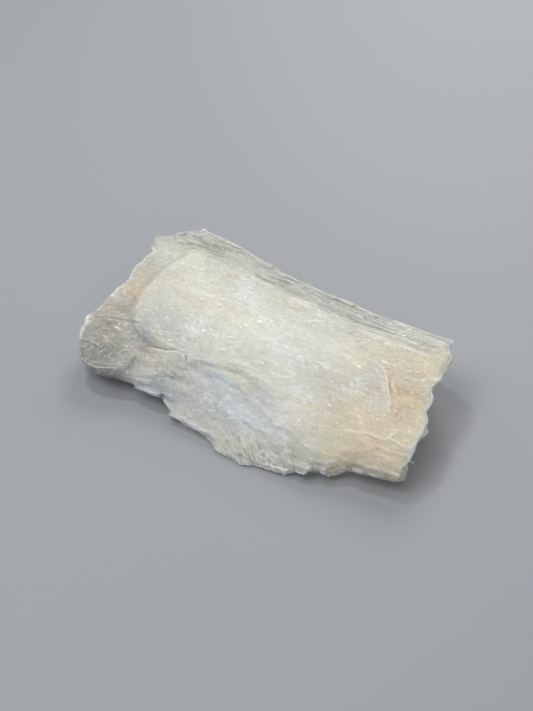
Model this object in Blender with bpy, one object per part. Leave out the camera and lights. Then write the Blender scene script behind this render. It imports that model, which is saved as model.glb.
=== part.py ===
"""Selenite crystal blade: one broken cleavage block of gypsum, modelled in metres with +Z up.

The crystal's grain and its long edges run along X. Its cleavage sheets lie one on another and
dip forwards, towards -Y, so the shape is given in the sheets' own frame: x along the grain,
v across the sheets and w through them, in millimetres. The sheets are lofted from their
outlines, joined with long splinters into one body, chipped, tilted and cut off flat where the
block rests.
"""

import math
import random

import bmesh
import bpy
from mathutils import Matrix, Vector

MM = 0.001
WELD = 0.000001

OBJECT_NAME = "selenite_blade"

# How the cleavage sheets lie, and how far each one laps into the next
SHEET_DIP = math.radians(12.0)
SHEET_LAP = 0.35

# Heights in the sheets' frame: raised plate, its lower lip, the terrace round it and the crest
PLATE_TOP = 15.6
PLATE_LIP_TOP = 15.0
TERRACE_TOP = 14.3
CREST_TOP = 13.5

# Ragged ends: distance between points, and how far splinters stand in and out
SPLINTER_PITCH = 2.4
SPLINTER_DEPTH = 0.7

# Front ledges: distance between points, scallop depth, and how much of a step is slope
FRONT_PITCH = 3.0
SCALLOP_DEPTH = 0.4
SLOPE_SHARE = 0.8

# Back wall: long straight runs with small steps
BACK_PITCH = 9.5
BACK_STEP_DEPTH = 0.3

# The two ends at terrace height, from front to back, as (x, v)
LEFT_END = [
    (-44.8, -23.8), (-48.4, -20.7), (-52.4, -13.8), (-53.2, -8.7), (-52.5, -5.0), (-51.5, 0.3),
    (-52.3, 3.5), (-50.3, 10.1), (-51.2, 11.1), (-52.0, 14.4), (-50.7, 16.8), (-50.6, 21.0),
    (-52.4, 24.4), (-53.0, 27.0), (-47.7, 30.3), (-47.2, 32.4), (-41.6, 36.1),
]
RIGHT_END = [
    (51.7, -21.6), (52.3, -19.1), (52.4, -15.6), (50.9, -13.6), (50.8, -11.4), (50.6, -7.0),
    (51.3, -4.2), (49.4, -1.3), (49.5, 2.3), (47.6, 7.2), (48.3, 10.8), (48.2, 20.2), (45.3, 25.7),
]

# The crest, the block's upper back edge, with two small steps in it, as (x, v)
CREST_EDGE = [
    (-41.6, 36.1), (-33.0, 35.1), (-24.4, 33.7), (-15.7, 31.9), (-12.8, 30.5), (-3.7, 29.1),
    (6.3, 27.5), (14.0, 27.5), (16.1, 26.4), (30.0, 26.4), (45.3, 25.7),
]

# The raised plate: its rounded left end, then its front edge
PLATE_ARC = [
    (-37.6, 25.4), (-40.0, 20.5), (-41.8, 15.0), (-42.6, 9.5), (-42.6, 4.0), (-41.4, -1.0),
    (-39.0, -5.0),
]
PLATE_FRONT = [
    (-35.6, -7.4), (-31.0, -8.6), (-24.0, -9.4), (-17.8, -11.0), (-11.5, -8.6), (-4.5, -7.6),
    (4.8, -8.9), (11.0, -11.2), (17.3, -10.2), (24.0, -12.2), (30.6, -10.4), (40.0, -11.8),
    (50.4, -12.0),
]

# The band between plate and crest: where it starts, and the tops of its thin sheets with the
# place where each one ends on the left
BAND_START = [(-37.6, 25.4), (-30.2, 25.1), (-17.0, 23.3), (1.5, 19.8), (18.5, 17.6), (47.4, 16.5)]
BAND_SHEETS = [(15.3, -37.0), (14.65, -41.5), (13.95, -43.6), (13.5, -41.6)]
BAND_BOTTOM = 12.2

# Front edges of the sheets below the plate, top sheet first: (height, edge as (x, v))
LEDGES = [
    (14.3, [
        (-44.8, -23.8), (-40.5, -24.2), (-36.0, -22.4), (-32.2, -19.6), (-31.0, -15.2),
        (-25.0, -13.4), (-19.6, -12.4), (-16.6, -12.2), (-11.5, -10.6), (-4.5, -9.8),
        (3.0, -10.8), (10.0, -13.0), (16.0, -13.4), (24.0, -15.4), (30.0, -14.0),
        (36.4, -15.2), (50.8, -14.0),
    ]),
    (12.9, [
        (-45.6, -23.2), (-41.0, -24.4), (-36.0, -23.2), (-31.0, -20.4), (-25.0, -18.0),
        (-19.4, -14.6), (-16.6, -13.2), (-10.5, -12.8), (-2.0, -13.6), (7.0, -14.8),
        (16.0, -17.4), (24.0, -19.6), (30.0, -19.4), (36.4, -18.0), (50.8, -16.6),
    ]),
    (11.4, [
        (-46.4, -22.4), (-41.0, -24.4), (-36.0, -23.6), (-30.4, -21.4), (-24.0, -20.0),
        (-18.6, -16.6), (-12.0, -16.2), (-6.0, -17.4), (2.0, -19.0), (9.0, -20.4),
        (16.0, -22.0), (24.0, -23.0), (30.0, -23.2), (35.4, -20.6), (51.0, -18.8),
    ]),
    (10.0, [
        (-47.0, -21.8), (-41.0, -23.8), (-36.0, -22.2), (-30.0, -22.0), (-23.5, -22.3),
        (-17.0, -20.6), (-9.0, -20.8), (-2.0, -21.8), (6.0, -23.2), (14.0, -24.6),
        (24.0, -25.6), (30.0, -26.2), (35.0, -21.8), (44.0, -20.6), (50.9, -19.4),
    ]),
    (8.6, [
        (-47.6, -20.8), (-42.0, -22.6), (-35.4, -21.0), (-28.0, -21.2), (-22.0, -21.6),
        (-16.2, -23.6), (-15.4, -25.2), (-7.0, -26.2), (0.0, -26.6), (8.0, -28.0),
        (16.0, -28.4), (24.0, -27.6), (30.0, -26.9), (34.0, -23.6), (36.4, -21.8), (50.4, -18.8),
    ]),
    (7.2, [
        (-48.0, -19.6), (-42.0, -21.6), (-35.0, -20.2), (-28.0, -20.4), (-22.0, -20.8),
        (-17.0, -22.6), (-15.2, -25.0), (-10.8, -26.2), (-3.2, -27.0), (0.6, -28.2),
        (3.0, -30.2), (10.8, -30.6), (14.4, -29.6), (19.4, -28.8), (22.8, -28.4),
        (25.0, -26.0), (28.8, -25.0), (33.6, -23.8), (36.6, -20.6), (50.0, -17.8),
    ]),
]

# Below the lip the front wall leans back under it, by this much for each millimetre of depth
FOOT_UNDERCUT = 0.75
FOOT_TOPS = [5.7, 4.6, 2.3, 0.9, -1.7, -3.1, -5.6]
LOWEST = -8.4

# The back wall: how far each height stands out beyond the crest, as (height, distance)
BACK_BULGE = [
    (-8.4, -0.4), (-5.6, 0.2), (-3.1, 0.9), (-1.7, 0.7), (0.9, 1.5), (2.3, 1.9), (4.6, 1.6),
    (5.7, 2.1), (7.2, 1.6), (8.6, 1.7), (10.0, 1.1), (11.4, 0.9), (12.9, 0.1), (14.3, -3.4),
]
BACK_WAVE = 0.45

# The right end leans inwards on its way down, more so towards the back: millimetres for each
# millimetre of depth, as (v, lean). The left end leans out a little.
RIGHT_LEAN = [(-20.0, 0.12), (0.0, 0.42), (26.0, 0.66)]
LEFT_LEAN = 0.1

# Chips with a flat floor that dips towards their steep, rounded side:
# (x, v, w of the floor's middle, radius, dip in degrees, way the floor dips in degrees)
CHIPS = [
    (27.2, -3.3, 16.1, 12.0, 6.8, 36.0),
    (28.6, -13.6, 14.6, 4.6, 20.0, -104.0),
    (47.6, 13.6, 15.1, 5.6, 7.0, 30.0),
    (-34.6, 29.4, 14.2, 4.6, 12.0, 60.0),
    (-48.6, 26.2, 13.9, 4.8, 8.0, 150.0),
    (-27.0, -17.6, 13.2, 5.2, 24.0, -98.0),
    (-50.8, -4.0, 13.9, 4.4, 9.0, 190.0),
    (45.6, -16.6, 13.3, 5.0, 20.0, -76.0),
    (12.6, -29.6, 7.9, 4.0, 10.0, -80.0),
]

# The long hollow in the front slope: (x, v, w of its middle, half sizes, turn in degrees)
HOLLOW = (2.6, -17.0, 15.1, 21.0, 4.6, 4.0, -14.0)

# The comb of small grooves that runs down the lower front lip
COMB_FROM = (1.5, -25.4)
COMB_TO = (24.0, -25.4)
COMB_COUNT = 12
COMB_HEIGHT = 9.65
COMB_RADIUS = 0.62
COMB_LENGTH = 6.0

# Long splinters, each a thin spindle along the grain that is half sunk in the surface
SPINDLE_SIDES = 6
SPINDLE_SHOW = 0.5
PLATE_SPINDLES = [
    (-12.0, 11.6, 66.0, 0.9), (14.0, 14.8, 58.0, 0.8), (-20.0, 19.0, 36.0, 0.8),
    (4.0, -2.6, 62.0, 1.0), (18.0, 7.6, 44.0, 0.7), (-24.0, 2.6, 38.0, 0.9), (28.0, -6.4, 40.0, 0.8),
]
TERRACE_SPINDLES = [
    (-44.6, 15.4, 13.0, 0.7), (-45.0, 4.4, 12.0, 0.8), (-42.2, -9.4, 20.0, 1.0),
    (-37.6, -17.0, 20.0, 0.9),
]
BAND_SPINDLES = 9
BACK_SPINDLES = 22
END_SPINDLES = 9


def line_value(points, at):
    """Second value on a polyline at a first value, held level beyond its ends."""
    if at <= points[0][0]:
        return points[0][1]
    for (start, low), (end, high) in zip(points, points[1:]):
        if at <= end:
            return low + (high - low) * (at - start) / (end - start)
    return points[-1][1]


def swapped(points):
    """The same points with their two values exchanged."""
    return [(second, first) for first, second in points]


def spaced(start, end, pitch):
    """Evenly spaced values from start to end, both included."""
    count = max(1, round(abs(end - start) / pitch))
    return [start + (end - start) * index / count for index in range(count + 1)]


def blend(first, second, share):
    """A value between two others."""
    return first + (second - first) * share


def right_shift(v, w):
    """How far the right end has moved in at a place on it."""
    return -line_value(RIGHT_LEAN, v) * (TERRACE_TOP - w)


def left_shift(w):
    """How far the left end has moved out at a height."""
    return -LEFT_LEAN * (TERRACE_TOP - w)


def ledge_edge(height):
    """The front edge at a height: a ledge's own, or the lip's, leaning back below it."""
    for top, edge in LEDGES:
        if abs(top - height) < 0.01:
            return edge
    lip_top, lip = LEDGES[-1]
    lean = FOOT_UNDERCUT * (lip_top - height)
    return [(x, v + lean) for x, v in lip]


def back_place(x, w):
    """Where the back wall stands at a place along the block and a height."""
    wave = BACK_WAVE * math.sin(0.11 * x + 1.9 * w) * (1.0 if w < CREST_TOP else 0.3)
    return line_value(CREST_EDGE, x) + line_value(BACK_BULGE, w) + wave


def new_object(name, mesh_maker, collection):
    """Make an object from a function that fills a bmesh."""
    mesh = bpy.data.meshes.new(name)
    shape = bmesh.new()
    mesh_maker(shape)
    bmesh.ops.recalc_face_normals(shape, faces=shape.faces)
    shape.to_mesh(mesh)
    shape.free()
    thing = bpy.data.objects.new(name, mesh)
    collection.objects.link(thing)
    return thing


def loft(shape, top_ring, bottom_ring, top, bottom):
    """One face on the bottom ring, pulled up to the top ring."""
    corners = [shape.verts.new((x * MM, v * MM, bottom * MM)) for x, v in bottom_ring]
    base = shape.faces.new(corners)
    pulled = bmesh.ops.extrude_face_region(shape, geom=[base])
    lid = next(item for item in pulled["geom"] if isinstance(item, bmesh.types.BMFace))
    matching = {tuple(corner.co): place for corner, place in zip(corners, top_ring)}
    for corner in lid.verts:
        x, v = matching[tuple(corner.co)]
        corner.co = (x * MM, v * MM, top * MM)


def ragged_end(points, first, last, luck, outward):
    """Points up one broken end, between two v values, each a splinter in or out."""
    across = swapped(points)
    places = []
    for v in spaced(first, last, SPLINTER_PITCH)[1:-1]:
        stand = outward * luck.uniform(-SPLINTER_DEPTH, SPLINTER_DEPTH)
        places.append((line_value(across, v) + stand, v + luck.uniform(-0.5, 0.5)))
    return places


def full_sheet(shape, top, next_top, seed):
    """One sheet that runs from end to end of the block."""
    luck = random.Random(seed)
    bottom = next_top - SHEET_LAP
    edge = ledge_edge(top)
    next_edge = ledge_edge(next_top)
    top_ring = []
    bottom_ring = []

    reach = edge[-1][0] + right_shift(edge[-1][1], top)
    for x in spaced(edge[0][0] + left_shift(top), reach, FRONT_PITCH):
        scallop = luck.uniform(-SCALLOP_DEPTH, SCALLOP_DEPTH)
        upper = line_value(edge, x)
        lower = blend(upper, line_value(next_edge, x), SLOPE_SHARE)
        top_ring.append((x, upper + scallop))
        bottom_ring.append((x, lower + 0.7 * scallop))

    back_corner = back_place(RIGHT_END[-1][0], top)
    for x, v in ragged_end(RIGHT_END, edge[-1][1], back_corner, luck, 1.0):
        top_ring.append((x + right_shift(v, top), v))
        bottom_ring.append((x + right_shift(v, blend(top, bottom, 0.8)), v))

    last_x = RIGHT_END[-1][0] + right_shift(back_corner, top)
    for x in reversed(spaced(CREST_EDGE[0][0], last_x, BACK_PITCH)):
        step = luck.uniform(-BACK_STEP_DEPTH, BACK_STEP_DEPTH)
        top_ring.append((x, back_place(x, top) + step))
        bottom_ring.append((x, blend(back_place(x, top), back_place(x, next_top), 0.8) + step))

    back_corner = back_place(CREST_EDGE[0][0], top)
    for x, v in reversed(ragged_end(LEFT_END, edge[0][1], back_corner, luck, -1.0)):
        top_ring.append((x + left_shift(top), v))
        bottom_ring.append((x + left_shift(bottom), v))

    loft(shape, top_ring, bottom_ring, top, bottom)


def plate_sheet(shape, top, bottom, outset, seed):
    """The raised plate, or the slightly larger lip under it, with its rounded left end."""
    luck = random.Random(seed)
    top_ring = []
    bottom_ring = []
    for x, v in PLATE_ARC:
        top_ring.append((x - outset, v - 0.4 * outset))
        bottom_ring.append((x - outset - 0.6, v - 0.4 * outset - 0.2))
    for x in spaced(PLATE_FRONT[0][0], PLATE_FRONT[-1][0], FRONT_PITCH):
        v = line_value(PLATE_FRONT, x) - outset + luck.uniform(-0.35, 0.35)
        top_ring.append((x, v))
        bottom_ring.append((x, v - 0.8))
    for x, v in ragged_end(RIGHT_END, PLATE_FRONT[-1][1], BAND_START[-1][1], luck, 1.0):
        top_ring.append((x + 0.2 - 0.3 * outset, v))
        bottom_ring.append((x - 0.3 * outset, v))
    for x in reversed(spaced(BAND_START[0][0] + 4.0, BAND_START[-1][0], 8.0)):
        v = line_value(BAND_START, x) + 1.2 * outset + luck.uniform(-0.3, 0.3)
        top_ring.append((x, v))
        bottom_ring.append((x, v + 0.25))
    loft(shape, top_ring, bottom_ring, top, bottom)


def band_sheet(shape, top, left, seed):
    """One thin sheet of the striated band between the plate and the crest."""
    luck = random.Random(seed)
    share = (PLATE_TOP - top) / (PLATE_TOP - CREST_TOP)
    top_ring = [(-30.0, 8.0), (40.0, 8.0)]
    back = blend(BAND_START[-1][1], CREST_EDGE[-1][1], share)
    for x, v in ragged_end(RIGHT_END, 8.0, back, luck, 1.0):
        top_ring.append((x + right_shift(v, top) - 0.2, v))
    edge = []
    for x in reversed(spaced(left, CREST_EDGE[-1][0] + 1.6 - 1.6 * share, 8.0)):
        place = blend(line_value(BAND_START, x), line_value(CREST_EDGE, x), share)
        edge.append((x, place + luck.uniform(-0.3, 0.3) * (1.3 - share)))
    top_ring.extend(edge)
    top_ring.extend([(left - 0.6, edge[-1][1] - 3.0), (left + 1.8, 24.0), (left + 4.5, 17.0)])
    bottom_ring = [(x, v + 0.15) for x, v in top_ring]
    loft(shape, top_ring, bottom_ring, top, BAND_BOTTOM)


def spindle(shape, place, length, radius, turn):
    """A long splinter: a double cone along the grain, turned a little in the sheet."""
    for side in (-1.0, 1.0):
        made = bmesh.ops.create_cone(
            shape, cap_ends=False, segments=SPINDLE_SIDES, radius1=radius * MM, radius2=0.0,
            depth=0.5 * length * MM)
        lay = Matrix.Rotation(math.radians(90.0) * side, 4, "Y")
        out = Matrix.Translation((0.25 * side * length * MM, 0.0, 0.0))
        bmesh.ops.transform(shape, matrix=out @ lay, verts=made["verts"])
    bmesh.ops.remove_doubles(shape, verts=shape.verts, dist=WELD)
    swing = Matrix.Rotation(math.radians(turn), 4, "Z")
    moved = Matrix.Translation(tuple(value * MM for value in place))
    bmesh.ops.transform(shape, matrix=moved @ swing, verts=shape.verts)


def band_spindle(shape, index):
    """One splinter of the band below the crest."""
    luck = random.Random(300 + index)
    x = blend(-26.0, 34.0, (index + 0.5) / BAND_SPINDLES) + luck.uniform(-4.0, 4.0)
    share = luck.uniform(0.15, 0.85)
    v = blend(line_value(BAND_START, x), line_value(CREST_EDGE, x), share)
    w = blend(PLATE_TOP, CREST_TOP, share) - 0.35
    spindle(shape, (x, v, w), luck.uniform(16.0, 26.0), luck.uniform(0.55, 0.95), -7.0)


def back_spindle(shape, index):
    """One splinter of the back wall."""
    luck = random.Random(430 + index)
    x = luck.uniform(-30.0, 26.0)
    w = blend(-4.0, 11.0, (index + 0.5) / BACK_SPINDLES) + luck.uniform(-0.4, 0.4)
    length = luck.uniform(14.0, 30.0)
    radius = luck.uniform(0.7, 1.4)
    ahead = back_place(x + 0.25 * length, w) - back_place(x - 0.25 * length, w)
    turn = math.degrees(math.atan2(ahead, 0.5 * length))
    spindle(shape, (x, back_place(x, w) - 0.6 * radius, w), length, radius, turn)


def end_spindle(shape, index):
    """One splinter tip that stands out of a broken end, left and right by turns."""
    luck = random.Random(500 + index)
    share = (index + 0.5) / END_SPINDLES
    w = luck.uniform(5.0, 13.0)
    length = luck.uniform(9.0, 15.0)
    if index % 2:
        v = blend(-12.0, 24.0, share)
        x = line_value(swapped(RIGHT_END), v) + right_shift(v, w) + 0.4 - 0.5 * length
    else:
        v = blend(-16.0, 30.0, share)
        x = line_value(swapped(LEFT_END), v) + left_shift(w) - 0.4 + 0.5 * length
    spindle(shape, (x, v, w), length, luck.uniform(1.2, 2.0), luck.uniform(-4.0, 4.0))


def chip_cutter(shape, place):
    """A thick round disc whose flat lower face is the floor of a chip."""
    x, v, w, radius, dip, way = place
    thickness = 6.0
    bmesh.ops.create_cone(
        shape, cap_ends=True, segments=22, radius1=radius * MM, radius2=1.15 * radius * MM,
        depth=thickness * MM)
    raised = Matrix.Translation((0.0, 0.0, 0.5 * thickness * MM))
    dipped = Matrix.Rotation(math.radians(dip), 4, "Y")
    turned = Matrix.Rotation(math.radians(way), 4, "Z")
    moved = Matrix.Translation((x * MM, v * MM, w * MM))
    bmesh.ops.transform(shape, matrix=moved @ turned @ dipped @ raised, verts=shape.verts)


def hollow_cutter(shape):
    """A long flattened ball that presses the hollow into the front slope."""
    x, v, w, along, across, deep, turn = HOLLOW
    bmesh.ops.create_icosphere(shape, subdivisions=3, radius=1.0)
    stretch = Matrix.Diagonal((along * MM, across * MM, deep * MM, 1.0))
    tipped = Matrix.Rotation(math.radians(24.0), 4, "X")
    turned = Matrix.Rotation(math.radians(turn), 4, "Z")
    moved = Matrix.Translation((x * MM, v * MM, w * MM))
    bmesh.ops.transform(shape, matrix=moved @ turned @ tipped @ stretch, verts=shape.verts)


def comb_cutter(shape, index):
    """One groove of the comb: a thin tapered bar laid down the lip."""
    luck = random.Random(90 + index)
    share = index / (COMB_COUNT - 1)
    radius = COMB_RADIUS * luck.uniform(0.8, 1.2)
    bmesh.ops.create_cone(
        shape, cap_ends=True, segments=5, radius1=radius * MM, radius2=0.6 * radius * MM,
        depth=COMB_LENGTH * luck.uniform(0.8, 1.2) * MM)
    lay = Matrix.Rotation(math.radians(90.0 + luck.uniform(24.0, 30.0)), 4, "X")
    swing = Matrix.Rotation(math.radians(luck.uniform(-16.0, -4.0)), 4, "Z")
    moved = Matrix.Translation((
        blend(COMB_FROM[0], COMB_TO[0], share) * MM,
        blend(COMB_FROM[1], COMB_TO[1], share) * MM,
        COMB_HEIGHT * MM))
    bmesh.ops.transform(shape, matrix=moved @ swing @ lay, verts=shape.verts)


def floor_cutter(shape):
    """A slab below the resting plane, in the sheets' frame."""
    bmesh.ops.create_cube(shape, size=1.0)
    stretch = Matrix.Diagonal((0.2, 0.2, 0.06, 1.0))
    lowered = Matrix.Translation((0.0, 0.0, -0.03))
    untilted = Matrix.Rotation(-SHEET_DIP, 4, "X")
    bmesh.ops.transform(shape, matrix=untilted @ lowered @ stretch, verts=shape.verts)


def make_material():
    """Milky white gypsum."""
    material = bpy.data.materials.new("milky_gypsum")
    material.use_nodes = True
    surface = material.node_tree.nodes["Principled BSDF"]
    surface.inputs["Base Color"].default_value = (0.78, 0.77, 0.73, 1.0)
    surface.inputs["Roughness"].default_value = 0.35
    surface.inputs["Metallic"].default_value = 0.0
    surface.inputs["IOR"].default_value = 1.52
    return material


def add_boolean(thing, name, operation, helpers):
    """Join or cut an object with every object of a collection."""
    modifier = thing.modifiers.new(name, "BOOLEAN")
    modifier.operation = operation
    modifier.operand_type = "COLLECTION"
    modifier.collection = helpers
    modifier.solver = "EXACT"


def add_sheets(sheets, spans):
    """Every sheet below the terrace's own, with the plate and the band on top."""
    for index, (top, next_top) in enumerate(spans):
        new_object(
            f"sheet_{index + 1:02d}",
            lambda shape: full_sheet(shape, top, next_top, 12 + index), sheets)
    lip_bottom = TERRACE_TOP - SHEET_LAP
    plate_bottom = PLATE_LIP_TOP - SHEET_LAP
    new_object(
        "plate_lip", lambda shape: plate_sheet(shape, PLATE_LIP_TOP, lip_bottom, 0.8, 8), sheets)
    new_object(
        "raised_plate", lambda shape: plate_sheet(shape, PLATE_TOP, plate_bottom, 0.0, 7), sheets)
    for index, (top, left) in enumerate(BAND_SHEETS):
        new_object(
            f"band_sheet_{index + 1}",
            lambda shape: band_sheet(shape, top, left, 40 + index), sheets)


def add_splinters(sheets):
    """The long splinters on the plate, the terrace, the band, the back wall and the ends."""
    on_top = [(place, PLATE_TOP) for place in PLATE_SPINDLES]
    on_top.extend((place, TERRACE_TOP) for place in TERRACE_SPINDLES)
    for index, ((x, v, length, radius), top) in enumerate(on_top):
        height = top - (1.0 - SPINDLE_SHOW) * radius
        new_object(
            f"top_splinter_{index + 1:02d}",
            lambda shape: spindle(shape, (x, v, height), length, radius, -5.0), sheets)
    makers = ((band_spindle, BAND_SPINDLES), (back_spindle, BACK_SPINDLES),
              (end_spindle, END_SPINDLES))
    for maker, count in makers:
        for index in range(count):
            new_object(
                f"{maker.__name__}_{index + 1:02d}", lambda shape: maker(shape, index), sheets)


def add_cutters(cutters):
    """The chips, the hollow, the comb and the floor."""
    for index, place in enumerate(CHIPS):
        new_object(f"chip_{index + 1}", lambda shape: chip_cutter(shape, place), cutters)
    new_object("hollow", hollow_cutter, cutters)
    for index in range(COMB_COUNT):
        new_object(f"comb_groove_{index + 1:02d}", lambda shape: comb_cutter(shape, index), cutters)
    new_object("floor", floor_cutter, cutters)


def keep_outer_shell(shape):
    """Fill the small voids closed in between splinters: only the largest shell stays."""
    left = set(shape.faces)
    shells = []
    while left:
        shell = [left.pop()]
        for face in shell:
            beside = {other for edge in face.edges for other in edge.link_faces} & left
            left -= beside
            shell.extend(beside)
        shells.append(shell)
    shells.sort(key=len)
    for shell in shells[:-1]:
        bmesh.ops.delete(shape, geom=shell, context="FACES")


def settle(block):
    """Apply the modifiers, tilt the block onto its base and put the origin under its middle."""
    seen = block.evaluated_get(bpy.context.evaluated_depsgraph_get())
    joined = bpy.data.meshes.new_from_object(seen)
    shape = bmesh.new()
    shape.from_mesh(joined)
    bmesh.ops.remove_doubles(shape, verts=shape.verts, dist=WELD)
    keep_outer_shell(shape)
    bmesh.ops.rotate(shape, matrix=Matrix.Rotation(SHEET_DIP, 3, "X"), verts=shape.verts)
    lows = [min(corner.co[axis] for corner in shape.verts) for axis in range(3)]
    highs = [max(corner.co[axis] for corner in shape.verts) for axis in range(3)]
    middle = Vector((-(lows[0] + highs[0]) / 2.0, -(lows[1] + highs[1]) / 2.0, -lows[2]))
    bmesh.ops.translate(shape, vec=middle, verts=shape.verts)
    shape.to_mesh(joined)
    shape.free()
    block.modifiers.clear()
    block.data = joined
    joined.name = OBJECT_NAME


def main():
    """Build the block."""
    for old in list(bpy.data.objects):
        bpy.data.objects.remove(old, do_unlink=True)
    groups = {}
    for name in ("selenite_crystal_blade", "joined_sheets", "cutters"):
        groups[name] = bpy.data.collections.new(name)
        bpy.context.scene.collection.children.link(groups[name])
    sheets = groups["joined_sheets"]
    cutters = groups["cutters"]

    tops = [top for top, edge in LEDGES] + FOOT_TOPS
    spans = list(zip(tops, tops[1:] + [LOWEST]))
    block = new_object(
        OBJECT_NAME, lambda shape: full_sheet(shape, *spans[0], 11),
        groups["selenite_crystal_blade"])
    add_sheets(sheets, spans[1:])
    add_splinters(sheets)
    add_cutters(cutters)
    for helper in list(sheets.objects) + list(cutters.objects):
        helper.hide_render = True
        helper.display_type = "WIRE"

    add_boolean(block, "join sheets", "UNION", sheets)
    add_boolean(block, "cut chips and base", "DIFFERENCE", cutters)
    settle(block)
    block.data.materials.append(make_material())


main()
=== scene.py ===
"""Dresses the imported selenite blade: fine cleavage relief, milky gypsum, studio and camera."""

import logging
import math
from dataclasses import dataclass
from enum import Enum

import bmesh
import bpy
import numpy as np
from mathutils import Color, Matrix, Vector


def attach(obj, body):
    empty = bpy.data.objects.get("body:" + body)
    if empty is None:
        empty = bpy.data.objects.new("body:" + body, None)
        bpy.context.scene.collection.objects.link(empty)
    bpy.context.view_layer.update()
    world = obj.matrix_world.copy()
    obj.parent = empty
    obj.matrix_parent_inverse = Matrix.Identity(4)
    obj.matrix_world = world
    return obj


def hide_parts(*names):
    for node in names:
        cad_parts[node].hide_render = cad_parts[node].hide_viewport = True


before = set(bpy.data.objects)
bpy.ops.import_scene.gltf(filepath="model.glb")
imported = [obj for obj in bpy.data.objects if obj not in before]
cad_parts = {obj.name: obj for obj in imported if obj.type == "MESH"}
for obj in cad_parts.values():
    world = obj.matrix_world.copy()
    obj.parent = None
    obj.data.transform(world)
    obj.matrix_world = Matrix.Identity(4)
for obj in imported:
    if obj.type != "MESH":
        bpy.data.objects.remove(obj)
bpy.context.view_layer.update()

Rgb = tuple[float, float, float]
Vec3 = tuple[float, float, float]
Path = tuple[tuple[float, float], ...]
Span = tuple[float, float]
Socket = bpy.types.NodeSocket
Given = Socket | Rgb | float

LOG = logging.getLogger("selenite")
MM = 0.001
CAD_NODE = "selenite_blade"
CHIP_ARC: Path = (
    (31.0, 9.3), (33.3, 8.2), (35.4, 5.5), (37.9, 1.6), (39.5, -1.2), (41.1, -4.7),
)


class Face(Enum):
    """The kinds of surface that the crystal breaks into."""

    CLEAVAGE = "flat cleavage face"
    END = "splintered end"
    BACK = "striated back wall"
    FRONT = "hackly front slope"


@dataclass(frozen=True)
class SheetFrame:
    """The cleavage sheets' own frame, in millimetres: x along the grain, v across, w through."""

    dip: float = math.radians(12.0)
    shift_x: float = 1.43
    shift_y: float = -2.69

    def places(self, points: np.ndarray) -> np.ndarray:
        """Turn points of the row frame into sheet coordinates.

        Args:
            points: Positions in metres, one row each.

        Returns:
            The same positions as (x, v, w) in millimetres.
        """
        x = points[:, 0] / MM - self.shift_x
        y = points[:, 1] / MM - self.shift_y
        z = points[:, 2] / MM
        v = y * math.cos(self.dip) + z * math.sin(self.dip)
        w = z * math.cos(self.dip) - y * math.sin(self.dip)
        return np.stack([x, v, w], axis=1)

    def ways(self, normals: np.ndarray) -> np.ndarray:
        """Turn directions of the row frame into the sheets' own.

        Args:
            normals: Directions in the row frame, one row each.

        Returns:
            The same directions along x, v and w.
        """
        v = normals[:, 1] * math.cos(self.dip) + normals[:, 2] * math.sin(self.dip)
        w = normals[:, 2] * math.cos(self.dip) - normals[:, 1] * math.sin(self.dip)
        return np.stack([normals[:, 0], v, w], axis=1)

    def matrix(self) -> Matrix:
        """What carries a shape in sheet coordinates, in metres, into the row frame."""
        shift = Matrix.Translation((self.shift_x * MM, self.shift_y * MM, 0.0))
        return shift @ Matrix.Rotation(self.dip, 4, "X")

    def row_ways(self, ways: np.ndarray) -> np.ndarray:
        """Turn directions along the sheets back into the row frame.

        Args:
            ways: Directions along x, v and w, one row each.

        Returns:
            The same directions in the row frame.
        """
        y = ways[:, 1] * math.cos(self.dip) - ways[:, 2] * math.sin(self.dip)
        z = ways[:, 1] * math.sin(self.dip) + ways[:, 2] * math.cos(self.dip)
        return np.stack([ways[:, 0], y, z], axis=1)

    def height(self, places: np.ndarray) -> np.ndarray:
        """How high sheet coordinates stand over the resting plane, in millimetres."""
        return places[:, 1] * math.sin(self.dip) + places[:, 2] * math.cos(self.dip)


def display(red: float, green: float, blue: float) -> Rgb:
    """Turn a colour as a screen shows it, from 0 to 1, into the renderer's linear values."""
    return tuple(Color((red, green, blue)).from_srgb_to_scene_linear())


def smoothstep(low: float, high: float, values: np.ndarray) -> np.ndarray:
    """A soft step from 0 at low to 1 at high."""
    share = np.clip((values - low) / (high - low), 0.0, 1.0)
    return share * share * (3.0 - 2.0 * share)


def within(spans: tuple[Span, Span], values: np.ndarray) -> np.ndarray:
    """How far values are past two soft steps at once, from 0 to 1."""
    return smoothstep(*spans[0], values) * smoothstep(*spans[1], values)


def stepped(levels: np.ndarray, blend: Span) -> np.ndarray:
    """Turn rising levels into steps of 1, each blended over a part of its run."""
    below = np.floor(levels)
    return below + smoothstep(*blend, levels - below)


def mixed(base: np.ndarray, colour: Rgb, share: np.ndarray) -> np.ndarray:
    """Move the colour of each place towards another one, by the place's own share."""
    share = share[:, None]
    return base * (1.0 - share) + np.array(colour) * share


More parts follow.
